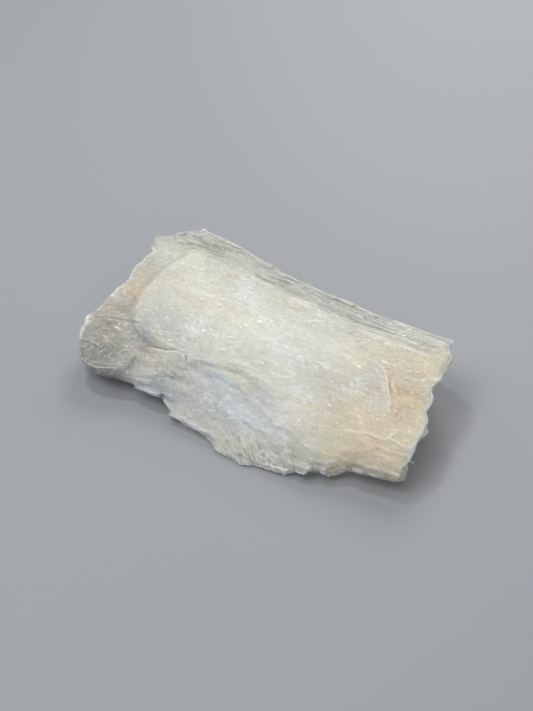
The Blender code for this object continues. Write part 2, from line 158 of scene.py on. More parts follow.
class GradientNoise:
    """Seeded smooth noise in three dimensions, sampled at many places at once."""

    reach = 1.5

    def __init__(self, seed: int) -> None:
        """Draw the lattice's order and slopes.

        Args:
            seed: What makes one noise unlike another.
        """
        draw = np.random.default_rng(seed)
        self.order = np.tile(draw.permutation(256), 2)
        slopes = draw.normal(size=(256, 3))
        self.slopes = slopes / np.linalg.norm(slopes, axis=1, keepdims=True)

    def at(self, places: np.ndarray) -> np.ndarray:
        """Sample the noise.

        Args:
            places: Positions in lattice units, one row each.

        Returns:
            Values of about -1 to 1.
        """
        cell = np.floor(places).astype(np.int64)
        inside = places - cell
        fade = inside ** 3 * (inside * (inside * 6.0 - 15.0) + 10.0)
        total = np.zeros(len(places))
        for corner in np.ndindex(2, 2, 2):
            step = np.array(corner)
            spot = (cell + step) & 255
            index = self.order[spot[:, 0]]
            index = self.order[index + spot[:, 1]]
            index = self.order[index + spot[:, 2]]
            rise = np.einsum("ij,ij->i", self.slopes[index], inside - step)
            weight = np.prod(np.where(step == 1, fade, 1.0 - fade), axis=1)
            total += weight * rise
        return total * self.reach

    def layered(self, places: np.ndarray, layers: int, gain: float = 0.5) -> np.ndarray:
        """Sum several layers, each twice as fine as the last.

        Args:
            places: Positions in lattice units, one row each.
            layers: How many layers.
            gain: Each layer's strength beside the last one's.

        Returns:
            One value for each place.
        """
        total = np.zeros(len(places))
        strength = 1.0
        for layer in range(layers):
            total += strength * self.at(places * 2.0 ** layer + 17.3 * layer)
            strength *= gain
        return total


@dataclass(frozen=True)
class Ripple:
    """One layer of smooth relief, in millimetres: its height, and how long or dense its waves are."""

    height: float
    size: Vec3 = (1.0, 1.0, 1.0)
    per_mm: Vec3 = (1.0, 1.0, 1.0)
    offset: float = 0.0
    layers: int = 1

    def wave(self, noise: GradientNoise, places: np.ndarray) -> np.ndarray:
        """The layer's waves at each place, before its height."""
        return noise.layered(places / self.size * self.per_mm + self.offset, self.layers)

    def at(self, noise: GradientNoise, places: np.ndarray) -> np.ndarray:
        """How far the layer stands out at each place, in millimetres."""
        return self.height * self.wave(noise, places)


def rippled(ripples: tuple[Ripple, ...], noise: GradientNoise, places: np.ndarray) -> np.ndarray:
    """The height of several layers of relief together, in millimetres."""
    return sum(ripple.at(noise, places) for ripple in ripples)


class SplinterCells:
    """Seeded cells in a plane, such as the ends of fibres or small cleavage blocks."""

    def __init__(self, seed: int) -> None:
        """Keep the seed that every cell's draws start from."""
        self.seed = seed

    def draw(self, column: np.ndarray, line: np.ndarray, salt: int) -> np.ndarray:
        """Draw a number that belongs to a cell.

        Args:
            column: The cells' columns.
            line: The cells' lines.
            salt: Which of a cell's numbers to draw.

        Returns:
            One number of 0 to 1 for each cell.
        """
        whole = (column * 374761393 + line * 668265263 + (self.seed + salt) * 974711) & 0x7FFFFFFF
        whole = ((whole ^ (whole >> 13)) * 1274126177) & 0x7FFFFFFF
        return ((whole ^ (whole >> 16)) & 0xFFFF) / 65535.0

    def at(self, places: np.ndarray) -> tuple[np.ndarray, np.ndarray, np.ndarray, np.ndarray]:
        """Find the nearest cell of each place.

        Args:
            places: Positions in cell units, as rows of two.

        Returns:
            Each place's cell value, its distance to the cell's border, and its offset from the
            cell's middle in both directions.
        """
        base = np.floor(places).astype(np.int64)
        nearest = np.full(len(places), 9.0)
        second = np.full(len(places), 9.0)
        value = np.zeros(len(places))
        offset = np.zeros((len(places), 2))
        for step in np.ndindex(3, 3):
            column = base[:, 0] + step[0] - 1
            line = base[:, 1] + step[1] - 1
            middle_a = column + 0.1 + 0.8 * self.draw(column, line, 1)
            middle_b = line + 0.1 + 0.8 * self.draw(column, line, 2)
            away = np.stack([places[:, 0] - middle_a, places[:, 1] - middle_b], axis=1)
            distance = np.hypot(away[:, 0], away[:, 1])
            closer = distance < nearest
            second = np.where(closer, nearest, np.minimum(second, distance))
            nearest = np.where(closer, distance, nearest)
            value = np.where(closer, self.draw(column, line, 3), value)
            offset = np.where(closer[:, None], away, offset)
        return value, second - nearest, offset[:, 0], offset[:, 1]


@dataclass(frozen=True)
class EndBlocks:
    """Blocks that a broken end splits into, in millimetres, with thin notches between them."""

    seed: int
    size: Span
    stand: float
    notch: float
    notch_width: float

    def at(self, spots: np.ndarray) -> tuple[np.ndarray, np.ndarray]:
        """Tell how the blocks stand at each spot.

        Args:
            spots: Places on the end, as rows of v and w in millimetres.

        Returns:
            How far each spot stands out, and how deep it is in a notch, in millimetres.
        """
        value, border, _, _ = SplinterCells(self.seed).at(spots / self.size)
        stand = (value - 0.5) * self.stand
        return stand, self.notch * smoothstep(self.notch_width, 0.0, border)


@dataclass(frozen=True)
class Patch:
    """A soft-edged oval place on the crystal, in sheet coordinates."""

    name: str
    x: float
    v: float
    half_x: float
    half_v: float
    turn: float = 0.0
    strength: float = 1.0

    def share(self, places: np.ndarray) -> np.ndarray:
        """How far each place is inside the patch.

        Args:
            places: Sheet coordinates in millimetres.

        Returns:
            One share for each place, from 0 to the patch's strength.
        """
        angle = math.radians(self.turn)
        x = places[:, 0] - self.x
        v = places[:, 1] - self.v
        along = (x * math.cos(angle) + v * math.sin(angle)) / self.half_x
        across = (v * math.cos(angle) - x * math.sin(angle)) / self.half_v
        return self.strength * np.exp(-1.2 * (along ** 2 + across ** 2))


@dataclass(frozen=True)
class Tint(Patch):
    """A patch of colour in the crystal."""

    colour: Rgb = (1.0, 1.0, 1.0)

    def over(self, base: np.ndarray, places: np.ndarray) -> np.ndarray:
        """Lay the patch's colour, given as a screen shows it, over linear colours."""
        return mixed(base, display(*self.colour), self.share(places))


def covered(patches: tuple[Patch, ...], places: np.ndarray) -> np.ndarray:
    """How far each place is inside any of the patches, from 0 to 1."""
    left_out = np.prod([1.0 - patch.share(places) for patch in patches], axis=0)
    return 1.0 - left_out


def speck(x: float, v: float, length: float, turn: float = 0.0) -> Patch:
    """A small bright spot where a bit of crystal stands out; its white is a painted glint."""
    return Patch("speck", x, v, 0.46 * length, 0.38, turn)


@dataclass(frozen=True)
class Seam:
    """A thin line on the crystal: a crack that is dark, or a raised edge that is white."""

    name: str
    path: Path
    width: float
    rise: float
    darkness: float = 0.0
    whiteness: float = 0.0
    end_width: float = 0.35
    taper: float = 3.0

    def share(self, places: np.ndarray, wander: np.ndarray) -> np.ndarray:
        """How near each place is to the line, from 0 away from it to 1 on it.

        Args:
            places: Sheet coordinates in millimetres.
            wander: How far each place is moved aside first, so that the line wavers.

        Returns:
            One share for each place.
        """
        spots = places[:, :2] + wander
        nearest = np.full(len(spots), 1e9)
        for start, stop in zip(self.path[:-1], self.path[1:]):
            begin = np.array(start)
            reach = np.array(stop) - begin
            along = np.clip((spots - begin) @ reach / (reach @ reach), 0.0, 1.0)
            gap = spots - begin - along[:, None] * reach
            nearest = np.minimum(nearest, np.hypot(gap[:, 0], gap[:, 1]))
        first, last = np.array(self.path[0]), np.array(self.path[-1])
        to_end = np.minimum(np.hypot(*(spots - first).T), np.hypot(*(spots - last).T))
        slim = self.end_width + (1.0 - self.end_width) * smoothstep(0.0, self.taper, to_end)
        return np.exp(-((nearest / (self.width * slim)) ** 2)) * smoothstep(-0.5, 1.5, to_end)


@dataclass(frozen=True)
class Shard:
    """A small tapered splinter that is half sunk in the crystal, in sheet coordinates."""

    x: float
    v: float
    w: float
    length: float
    width: float
    thickness: float
    turn: float = 0.0
    pitch: float = 0.0
    sides: int = 5
    root: float = 0.62
    tip: float = 0.22

    def add_to(self, shape: bmesh.types.BMesh, sheet: SheetFrame) -> None:
        """Add the splinter's solid to a mesh.

        Args:
            shape: The mesh, in the row frame.
            sheet: The frame that the splinter's place is given in.
        """
        made = bmesh.ops.create_cone(shape, cap_ends=True, segments=self.sides,
                                     radius1=self.root, radius2=self.tip, depth=1.0)
        lay = Matrix.Rotation(math.radians(90.0), 4, "Y")
        size = (self.length * MM, self.width * MM, self.thickness * MM, 1.0)
        heading = Matrix.Rotation(math.radians(self.turn), 4, "Z")
        heading = heading @ Matrix.Rotation(math.radians(self.pitch), 4, "Y")
        moved = Matrix.Translation((self.x * MM, self.v * MM, self.w * MM))
        whole = sheet.matrix() @ moved @ heading @ Matrix.Diagonal(size) @ lay
        bmesh.ops.transform(shape, matrix=whole, verts=made["verts"])

    def share(self, places: np.ndarray) -> np.ndarray:
        """How near each place is to the splinter.

        Args:
            places: Sheet coordinates in millimetres.

        Returns:
            One share for each place, from 0 to 1.
        """
        angle = math.radians(self.turn)
        x = places[:, 0] - self.x
        v = places[:, 1] - self.v
        along = (x * math.cos(angle) + v * math.sin(angle)) / (0.5 * self.length + 0.6)
        across = (v * math.cos(angle) - x * math.sin(angle)) / (0.5 * self.width + 0.6)
        deep = (places[:, 2] - self.w) / (0.5 * self.thickness + 0.8)
        return smoothstep(1.6, 0.9, np.sqrt(along ** 2 + across ** 2 + deep ** 2))


@dataclass(frozen=True)
class Nudge:
    """A small sideways push of the outline, in sheet coordinates and millimetres."""

    x: float
    v: float
    push_x: float
    push_y: float
    reach: float

    def move(self, places: np.ndarray) -> np.ndarray:
        """How far each place is pushed along x and y of the row frame, in millimetres."""
        away = np.hypot(places[:, 0] - self.x, places[:, 1] - self.v) / self.reach
        return np.exp(-(away ** 2))[:, None] * np.array((self.push_x, self.push_y))


class FineMesh:
    """A dense triangle mesh with its points, edges and normals as arrays."""

    def __init__(self, mesh: bpy.types.Mesh) -> None:
        """Read the mesh's points and edges.

        Args:
            mesh: The mesh to work on.
        """
        self.mesh = mesh
        self.points = np.empty(len(mesh.vertices) * 3)
        mesh.vertices.foreach_get("co", self.points)
        self.points = self.points.reshape(-1, 3)
        ends = np.empty(len(mesh.edges) * 2, np.int32)
        mesh.edges.foreach_get("vertices", ends)
        self.ends = ends.reshape(-1, 2)
        self.counts = np.bincount(self.ends.ravel(), minlength=len(self.points)).clip(1)

    def normals(self) -> np.ndarray:
        """Work out the points' normals as the mesh now stands.

        Returns:
            One direction for each point, in the row frame.
        """
        self.store()
        values = np.empty(len(self.points) * 3, np.float32)
        self.mesh.vertex_normals.foreach_get("vector", values)
        return values.reshape(-1, 3).astype(float)

    def store(self) -> None:
        """Write the points back to the mesh."""
        self.mesh.vertices.foreach_set("co", self.points.astype(np.float32).ravel())
        self.mesh.update()

    def smoothed(self, values: np.ndarray, rounds: int) -> np.ndarray:
        """Average values with their neighbours', a number of times.

        Args:
            values: One value or one row of values for each point.
            rounds: How many times.

        Returns:
            The averaged values.
        """
        values = np.array(values, float)
        columns = values.reshape(len(values), -1)
        first, second = self.ends[:, 0], self.ends[:, 1]
        for _ in range(rounds):
            total = np.empty_like(columns)
            for index in range(columns.shape[1]):
                column = columns[:, index]
                gathered = np.bincount(first, column[second], minlength=len(column))
                gathered += np.bincount(second, column[first], minlength=len(column))
                total[:, index] = gathered / self.counts
            columns = 0.5 * columns + 0.5 * total
        return columns.reshape(values.shape)

    def standing_out(self, rounds: int, normals: np.ndarray) -> np.ndarray:
        """How far each point stands out of its surroundings, in millimetres.

        Args:
            rounds: How wide the surroundings are, in rounds of smoothing.
            normals: The points' normals.

        Returns:
            One height for each point, below 0 in a hollow.
        """
        away = self.points - self.smoothed(self.points, rounds)
        return np.einsum("ij,ij->i", away, normals) / MM

    def attribute(self, name: str, values: np.ndarray) -> None:
        """Store one number per point under a name that materials can read."""
        layer = self.mesh.attributes.new(name, "FLOAT", "POINT")
        layer.data.foreach_set("value", values.astype(np.float32))

    def colour(self, name: str, values: np.ndarray) -> None:
        """Store one colour per point under a name that materials can read.

        Args:
            name: The attribute's name.
            values: Linear colours, one row each.
        """
        layer = self.mesh.attributes.new(name, "FLOAT_COLOR", "POINT")
        filled = np.concatenate([values, np.ones((len(values), 1))], axis=1)
        layer.data.foreach_set("color", filled.astype(np.float32).ravel())


@dataclass(frozen=True)
class Zones:
    """Where the crystal's stretches of one kind lie, in sheet coordinates and millimetres."""

    front_lip: Path = (
        (-30.0, -21.6), (-22.0, -21.8), (-17.0, -22.8), (-15.2, -25.6), (-3.2, -27.0), (3.0, -30.0),
        (12.0, -30.4), (22.8, -28.4), (30.0, -26.5), (34.0, -23.6), (36.6, -21.4), (51.0, -19.0),
    )
    crest_line: Path = (
        (-41.6, 36.1), (-24.4, 33.7), (-12.8, 30.5), (6.3, 27.5), (16.1, 26.4), (45.3, 25.7),
    )
    plate_arc: Path = (
        (-30.0, 26.4), (-37.6, 25.4), (-40.4, 20.0), (-42.4, 14.0), (-43.2, 7.0), (-42.6, 0.0),
        (-40.0, -5.0), (-35.0, -8.0), (-29.0, -9.0),
    )
    chip_arc: Path = CHIP_ARC
    plain_depth: Span = (7.0, 9.0)
    slope_back: Span = (-8.0, -10.5)
    slope_over_lip: Span = (0.8, 3.2)
    slope_left: Span = (-33.0, -28.0)
    slope_right: Span = (52.0, 48.0)
    under_crest: Span = (0.5, 2.0)
    band_foot: Span = (15.0, 11.0)
    corner_x: Span = (-27.0, -31.0)
    corner_v: Span = (-15.0, -18.5)
    plate_edge_width: float = 2.2
    plate_edge_share: float = 0.65
    chip_wall_width: float = 3.0
    comb_middle: float = 12.5
    comb_reach: float = 12.5
    comb_top: Span = (-22.0, -24.5)
    comb_depth: Span = (11.5, 10.0)
    stripes: Span = (10.0, 6.0)
    stripes_crest: float = 29.6
    stripes_fall: float = 0.12
    chip_front: Span = (-7.0, -3.5)
    chip_back: Span = (10.5, 8.0)

    def above_lip(self, places: np.ndarray) -> np.ndarray:
        """How far each place stands back from the lower front lip, in millimetres."""
        return places[:, 1] - np.interp(places[:, 0], *np.array(self.front_lip).T)

    def plain_share(self, places: np.ndarray) -> np.ndarray:
        """How far a place is on a stretch without steps, from 0 to 1.

        These are the front slope above its lip, the band below the crest, the front left corner,
        the plate's rounded left edge and the chip's curved side.

        Args:
            places: Sheet coordinates in millimetres.

        Returns:
            One share for each place.
        """
        x, v = places[:, 0], places[:, 1]
        slope = smoothstep(*self.slope_back, v)
        slope *= smoothstep(*self.slope_over_lip, self.above_lip(places))
        slope *= smoothstep(*self.slope_left, x) * smoothstep(*self.slope_right, x)
        below = np.interp(x, *np.array(self.crest_line).T) - v
        band = smoothstep(*self.under_crest, below) * smoothstep(*self.band_foot, below)
        corner = smoothstep(*self.corner_x, x) * smoothstep(*self.corner_v, v)
        still = np.zeros((len(places), 2))
        edge = Seam("plate edge", self.plate_arc, self.plate_edge_width, 0.0)
        chip = Seam("chip wall", self.chip_arc, self.chip_wall_width, 0.0)
        round_edges = np.maximum(self.plate_edge_share * edge.share(places, still),
                                 chip.share(places, still))
        plain = np.maximum.reduce([slope, band, corner, round_edges])
        return plain * smoothstep(*self.plain_depth, places[:, 2])

    def comb_share(self, places: np.ndarray) -> np.ndarray:
        """How far a place is inside the comb of the lower front lip.

        Args:
            places: Sheet coordinates in millimetres.

        Returns:
            One share for each place, from 0 to 1.
        """
        zone = np.exp(-((places[:, 0] - self.comb_middle) / self.comb_reach) ** 2)
        zone *= smoothstep(*self.comb_top, places[:, 1])
        return zone * smoothstep(*self.comb_depth, places[:, 2])

    def band_share(self, places: np.ndarray) -> np.ndarray:
        """How far a place is inside the striated band below the crest, from 0 to 1."""
        crest = self.stripes_crest - self.stripes_fall * places[:, 0]
        return smoothstep(*self.stripes, crest - places[:, 1])

    def chip_sides(self, places: np.ndarray) -> tuple[np.ndarray, np.ndarray]:
        """How each place lies to the chip's curved edge.

        Args:
            places: Sheet coordinates in millimetres.

        Returns:
            How far each place is beyond the edge along the grain, in millimetres, and whether it
            is beside the edge at all, from 0 to 1.
        """
        arc = np.array(self.chip_arc)[::-1]
        beside = smoothstep(*self.chip_front, places[:, 1])
        beside *= smoothstep(*self.chip_back, places[:, 1])
        return places[:, 0] - np.interp(places[:, 1], arc[:, 1], arc[:, 0]), beside


@dataclass(frozen=True)
class Relief:
    """How each kind of face rolls and breaks, with heights and sizes in millimetres."""

    zones: Zones = Zones()
    top_swells: tuple[Ripple, ...] = (
        Ripple(0.42, (26.0, 9.0, 9.0)),
        Ripple(0.2, (11.0, 4.2, 6.0), offset=7.0),
    )
    front_swell: Ripple = Ripple(0.2, (10.0, 5.0, 4.0), offset=31.0, layers=2)
    back_swell: Ripple = Ripple(0.3, (24.0, 3.0, 3.0), offset=3.0)
    ledges: tuple[Ripple, ...] = (
        Ripple(0.62, per_mm=(0.030, 0.085, 0.0)),
        Ripple(0.3, per_mm=(0.085, 0.21, 0.0), offset=5.0),
        Ripple(0.1, per_mm=(0.45, 0.7, 0.0), offset=9.0),
    )
    ledge_height: float = 0.09
    ledge_blend: Span = (0.38, 0.62)
    ledge_flatness: float = 0.8
    end_waver: Ripple = Ripple(0.25, (1.6, 1.6, 1.6))
    end_blocks: tuple[EndBlocks, ...] = (
        EndBlocks(5, (5.2, 1.25), 1.3, 0.22, 0.16),
        EndBlocks(6, (1.9, 0.7), 0.42, 0.1, 0.2),
    )
    end_sheets: Ripple = Ripple(0.4, per_mm=(0.0, 0.07, 1.1), offset=2.0)
    end_calm: Span = (12.5, 8.5)
    end_calm_share: float = 0.3
    below_rim: Span = (13.0, 11.5)
    below_rim_drop: float = 0.7
    hackle_waver: Ripple = Ripple(0.5, (3.0, 3.0, 3.0))
    chip_size: Span = (4.6, 1.9)
    crumb_size: Span = (1.7, 0.8)
    crumb_height: float = 0.36
    hackle_height: float = 0.45
    hackle_groove: float = 0.04
    sheet_drift: tuple[Ripple, ...] = (
        Ripple(0.9, (22.0, 12.0, 9.0)),
        Ripple(0.3, (4.0, 3.0, 3.0)),
    )
    sheet_steps_made: tuple[Span, ...] = ((1.25, 0.08), (0.5, 0.22))
    sheet_blend: Span = (0.3, 0.7)
    comb_slant: float = 0.78
    comb_teeth: float = 0.2
    comb_ridges: float = 0.1
    striae_bend: Ripple = Ripple(0.5, (18.0, 10.0, 10.0))
    striae: tuple[Ripple, ...] = (
        Ripple(0.12, per_mm=(0.028, 0.75, 0.75)),
        Ripple(0.07, per_mm=(0.05, 1.6, 1.6), offset=3.0),
    )

    def swell(self, places: np.ndarray, shares: dict[Face, np.ndarray]) -> np.ndarray:
        """How far the faces roll out or in.

        Args:
            places: Sheet coordinates in millimetres.
            shares: How much each place belongs to each kind of face.

        Returns:
            A height for each place, in millimetres.
        """
        roll = GradientNoise(3)
        height = shares[Face.CLEAVAGE] * rippled(self.top_swells, roll, places)
        height += shares[Face.FRONT] * self.front_swell.at(roll, places)
        back = self.back_swell
        return height + shares[Face.BACK] * back.height * back.wave(roll, places)

    def thin_steps(self, places: np.ndarray) -> np.ndarray:
        """Low steps where thin sheets of the top have flaked off.

        Args:
            places: Sheet coordinates in millimetres.

        Returns:
            A height for each place, in millimetres.
        """
        height = rippled(self.ledges, GradientNoise(11), places)
        steps = stepped(height / self.ledge_height, self.ledge_blend) * self.ledge_height
        return steps - self.ledge_flatness * height

    def splinters(self, places: np.ndarray) -> np.ndarray:
        """How far the stacked sheets of a broken end stand out or in.

        Args:
            places: Sheet coordinates in millimetres.

        Returns:
            A height for each place, in millimetres.
        """
        spots = places[:, 1:] + self.end_waver.at(GradientNoise(13), places)[:, None]
        stands, notches = zip(*(blocks.at(spots) for blocks in self.end_blocks))
        stand = sum(stands) - sum(notches) + self.end_sheets.at(GradientNoise(12), places)
        deep = smoothstep(*self.end_calm, places[:, 2])
        stand *= self.end_calm_share + (1.0 - self.end_calm_share) * deep
        return stand - self.below_rim_drop * smoothstep(*self.below_rim, places[:, 2])

    def hackle(self, places: np.ndarray) -> np.ndarray:
        """Flat tilted chips of the broken front.

        Args:
            places: Sheet coordinates in millimetres.

        Returns:
            A height for each place, in millimetres.
        """
        waver = self.hackle_waver.at(GradientNoise(15), places)
        bent = places[:, [0, 2]] + waver[:, None]
        chips, edge, along, across = SplinterCells(8).at(bent / self.chip_size)
        crumbs, _, beside, above = SplinterCells(9).at(bent / self.crumb_size)
        height = (chips - 0.5) * (along * 0.8 + 0.3) + (0.5 - chips) * across * 0.45
        height += self.crumb_height * (crumbs - 0.5) * (beside + 0.6 * above + 0.4)
        return self.hackle_height * height - self.hackle_groove * smoothstep(0.12, 0.0, edge)

    def sheet_steps(self, places: np.ndarray) -> np.ndarray:
        """Lift or drop the front into steps that follow the cleavage.

        Args:
            places: Sheet coordinates in millimetres.

        Returns:
            A height for each place, in millimetres.
        """
        drift = rippled(self.sheet_drift, GradientNoise(16), places)
        total = np.zeros(len(places))
        for height, strength in self.sheet_steps_made:
            level = (places[:, 2] + drift) / height
            total += strength * height * (stepped(level, self.sheet_blend) - level)
        return total

    def comb(self, places: np.ndarray) -> np.ndarray:
        """Short ridges that run down the lower front lip across the grain.

        Args:
            places: Sheet coordinates in millimetres.

        Returns:
            A height for each place, in millimetres.
        """
        waver = GradientNoise(14).at(places * (0.25, 0.3, 0.3))
        slant = places[:, 0] + self.comb_slant * (places[:, 1] + places[:, 2])
        rows = np.stack([slant * 1.15, places[:, 1] * 0.16, np.zeros(len(places))], axis=1)
        teeth = GradientNoise(18).at(rows + waver[:, None])
        ridges = np.abs(np.sin(slant * 2.4 + 2.6 * waver)) - 0.6
        return self.zones.comb_share(places) * (self.comb_ridges * ridges + self.comb_teeth * teeth)

    def grain_cut(self, places: np.ndarray) -> np.ndarray:
        """Long striae that run with the grain.

        Args:
            places: Sheet coordinates in millimetres.

        Returns:
            A height for each place, in millimetres, at full strength.
        """
        lines = GradientNoise(21)
        bend = self.striae_bend.at(lines, places)
        bent = np.stack([places[:, 0], places[:, 1] + bend, places[:, 2] + bend], axis=1)
        return rippled(self.striae, lines, bent)


@dataclass(frozen=True)
class MilkColour:
    """The crystal's colour from place to place, with some painted shade and painted light."""

    milk: Rgb = display(0.892, 0.888, 0.846)
    chip_floor_tone_and_shade: Rgb = display(0.80, 0.74, 0.645)
    chip_frost: Rgb = display(0.91, 0.905, 0.88)
    front_painted_shade: Rgb = (0.83, 0.86, 0.99)
    chip_floor_tone_and_shade_share: float = 0.75
    chip_frost_share: float = 0.5
    front_painted_shade_share: float = 0.45
    terrace_shade: float = 0.16
    terrace_strokes: float = 0.3
    beyond_chip: tuple[Span, Span] = ((-0.1, 0.4), (9.0, 1.0))
    before_chip: tuple[Span, Span] = ((0.1, -0.3), (-10.0, -3.0))
    terrace_depth: tuple[Span, Span] = ((15.2, 14.7), (11.5, 13.5))
    terrace_x: Span = (-26.0, -34.0)
    strokes_x: Span = (-38.0, -42.0)
    strokes_v: Span = (8.0, 2.0)
    richness: float = 1.65
    brightest: float = 0.98
    wander: float = 2.4
    wander_waves: float = 7.0
    tints: tuple[Tint, ...] = (
        Tint("warm right end", 44.0, 1.0, 16.0, 16.0, 0.0, 0.95, (0.805, 0.75, 0.665)),
        Tint("cream by chip", 43.2, 0.6, 2.2, 2.6, 0.0, 0.8, (0.97, 0.93, 0.80)),
        Tint("pink low right", 37.0, -12.0, 16.0, 6.0, -4.0, 0.9, (0.925, 0.875, 0.785)),
        Tint("warm left terrace", -45.5, 6.0, 5.0, 8.0, 20.0, 0.9, (0.90, 0.85, 0.75)),
        Tint("brown patch", -46.4, -3.2, 5.5, 3.2, 20.0, 0.85, (0.655, 0.605, 0.51)),
        Tint("olive terrace", -47.0, -12.5, 11.0, 6.0, 0.0, 0.9, (0.515, 0.48, 0.415)),
        # Painted shade: the low left corner and the steep facet under the terrace are darkened to
        # stand in for their shade.
        Tint("painted shade left corner", -42.5, -20.2, 11.0, 5.0, 4.0, 0.9, (0.25, 0.26, 0.265)),
        Tint("painted shade left facet", -38.0, -25.2, 9.0, 2.8, 6.0, 0.95, (0.12, 0.14, 0.175)),
        Tint("sandy ledge", -28.0, -13.5, 5.0, 3.0, -10.0, 0.85, (0.735, 0.69, 0.635)),
        # Own tan and blue tones, lightened by painted light that lifts the shade of the hollow under
        # the plate.
        Tint("tan under plate with painted light", -1.5, -10.8, 10.5, 2.6, -7.0, 1.0, (1.0, 0.985, 0.915)),
        Tint("blue hollow with painted light", 4.0, -16.9, 18.0, 4.5, -17.0, 0.8, (0.93, 0.945, 0.965)),
        Tint("blue spot", -6.5, -12.2, 4.0, 1.8, -20.0, 0.6, (0.91, 0.95, 1.0)),
        Tint("blue low front", -2.0, -20.2, 13.0, 3.8, -14.0, 0.75, (0.735, 0.75, 0.77)),
        Tint("pale rise", 9.0, -14.6, 6.0, 3.0, -14.0, 0.75, (0.97, 0.97, 0.975)),
        Tint("blue front left", -19.0, -21.0, 11.0, 3.8, -12.0, 0.7, (0.64, 0.67, 0.72)),
        Tint("blue plate side", -29.0, -3.0, 12.0, 4.5, -12.0, 0.65, (0.865, 0.87, 0.865)),
        # Painted shade at the foot of the plate's left step.
        Tint("painted shade at plate step", -34.0, -8.4, 5.0, 3.0, -30.0, 0.75, (0.62, 0.635, 0.65)),
        Tint("grey comb", 14.0, -27.0, 11.0, 2.6, 6.0, 0.7, (0.80, 0.79, 0.76)),
        Tint("olive hollow", -34.0, 29.0, 6.0, 3.0, -8.0, 0.85, (0.82, 0.81, 0.71)),
        Tint("honey spot", -34.5, 12.5, 2.6, 2.0, 0.0, 0.45, (0.91, 0.86, 0.76)),
        Tint("honey streak", -23.0, 8.2, 6.5, 2.2, -6.0, 0.65, (0.91, 0.87, 0.78)),
        Tint("honey back", -20.0, 21.5, 5.0, 2.0, -8.0, 0.35, (0.89, 0.83, 0.71)),
        Tint("yellow middle", -6.0, 6.0, 8.0, 3.0, -6.0, 0.35, (0.92, 0.90, 0.82)),
        Tint("cool plate front", -6.0, -3.0, 13.0, 3.2, -12.0, 0.5, (0.90, 0.91, 0.89)),
        Tint("yellow back", 2.0, 17.6, 8.0, 1.6, -4.0, 0.35, (0.92, 0.89, 0.77)),
        Tint("yellow right", 26.0, 10.0, 9.0, 6.0, 0.0, 0.85, (1.0, 0.975, 0.90)),
        Tint("side facet", 42.5, -24.0, 10.0, 3.4, 4.0, 0.9, (0.62, 0.57, 0.48)),
        # Painted shade: the band that falls back below the crest is darkened as if turned from the
        # light.
        Tint("painted shade crest left", -3.0, 27.0, 14.0, 2.8, -7.0, 0.85, (0.53, 0.54, 0.535)),
        Tint("painted shade crest right", 21.0, 23.5, 18.0, 3.0, -4.0, 0.55, (0.70, 0.71, 0.69)),
        # Painted light: the back left edge glows pale.
        Tint("painted rim light back left", -47.0, 29.5, 8.0, 8.0, 0.0, 1.0, (1.0, 1.0, 0.965)),
        # Lifts the painted crest shade at its left end.
        Tint("less painted shade crest left", -23.0, 29.0, 9.0, 3.0, -8.0, 0.95, (1.0, 1.0, 0.96)),
        # Painted light: the right end face, which is in shade, is lightened and warmed into a glowing
        # rim.
        Tint("painted warm light right end", 52.5, -4.0, 4.5, 22.0, 0.0, 0.9, (1.0, 0.94, 0.83)),
        Tint("pale low corner", 50.0, -19.0, 3.4, 3.4, 0.0, 0.85, (0.97, 0.92, 0.81)),
        Tint("pale right corner", 51.0, 20.0, 3.6, 6.0, 0.0, 0.85, (1.0, 0.975, 0.90)),
        Tint("pale plate back", -30.0, 17.5, 11.0, 6.5, -8.0, 0.75, (0.98, 0.975, 0.93)),
        Tint("pale plate right", 12.0, 11.5, 11.0, 4.5, -6.0, 0.65, (0.965, 0.965, 0.945)),
        Tint("cream back right", 43.0, 16.5, 9.0, 6.0, 0.0, 0.8, (0.97, 0.925, 0.825)),
        Tint("cream low right", 42.0, -16.5, 11.0, 3.4, 4.0, 0.75, (0.94, 0.885, 0.80)),
        Tint("grey low middle", 23.5, -23.8, 5.5, 3.0, 0.0, 0.6, (0.72, 0.72, 0.68)),
        Tint("pale by notch", 33.5, -21.6, 4.5, 3.0, 0.0, 0.75, (0.95, 0.90, 0.79)),
        # Painted light: the lower right facet corner is lightened against its shading.
        Tint("painted light facet corner", 50.0, -20.6, 4.0, 4.0, 0.0, 0.95, (1.0, 0.945, 0.82)),
        # Painted shade along the whole crest band.
        Tint("painted shade crest band", 2.0, 26.5, 46.0, 4.4, -6.8, 0.75, (0.665, 0.665, 0.62)),
    )
    clearest: float = 0.6
    milky_places: tuple[Patch, ...] = (
        Patch("plate", -8.0, 8.0, 34.0, 14.0, -6.0, 0.8),
        Patch("back left", -40.0, 22.0, 9.0, 7.0, 0.0, 0.6),
        Patch("front middle", 18.0, -13.0, 9.0, 4.0, -10.0, 0.6),
        Patch("right", 42.0, 0.0, 15.0, 17.0, 0.0, 0.5),
        Patch("left terrace", -46.0, -4.0, 9.0, 22.0, 0.0, 0.5),
    )
    feathers: tuple[Patch, ...] = (
        Patch("plate front", -21.5, 0.6, 3.6, 2.4, -20.0, 1.0),
        Patch("plate back", -12.0, 17.0, 6.5, 3.6, -30.0, 1.0),
        Patch("chip frost", 30.0, -0.6, 2.6, 4.6, -20.0, 1.0),
        Patch("middle", 6.0, 2.0, 12.0, 5.0, -16.0, 0.8),
        Patch("front", 14.0, -9.0, 9.0, 2.6, -10.0, 0.9),
        Patch("low front", 2.0, -18.0, 17.0, 4.0, -16.0, 0.7),
    )
    unstriped: tuple[Patch, ...] = (
        Patch("crest left", -23.0, 28.0, 8.0, 5.0, -8.0, 0.75),
        Patch("right corner", 48.0, 20.0, 12.0, 12.0, 0.0, 0.75),
    )

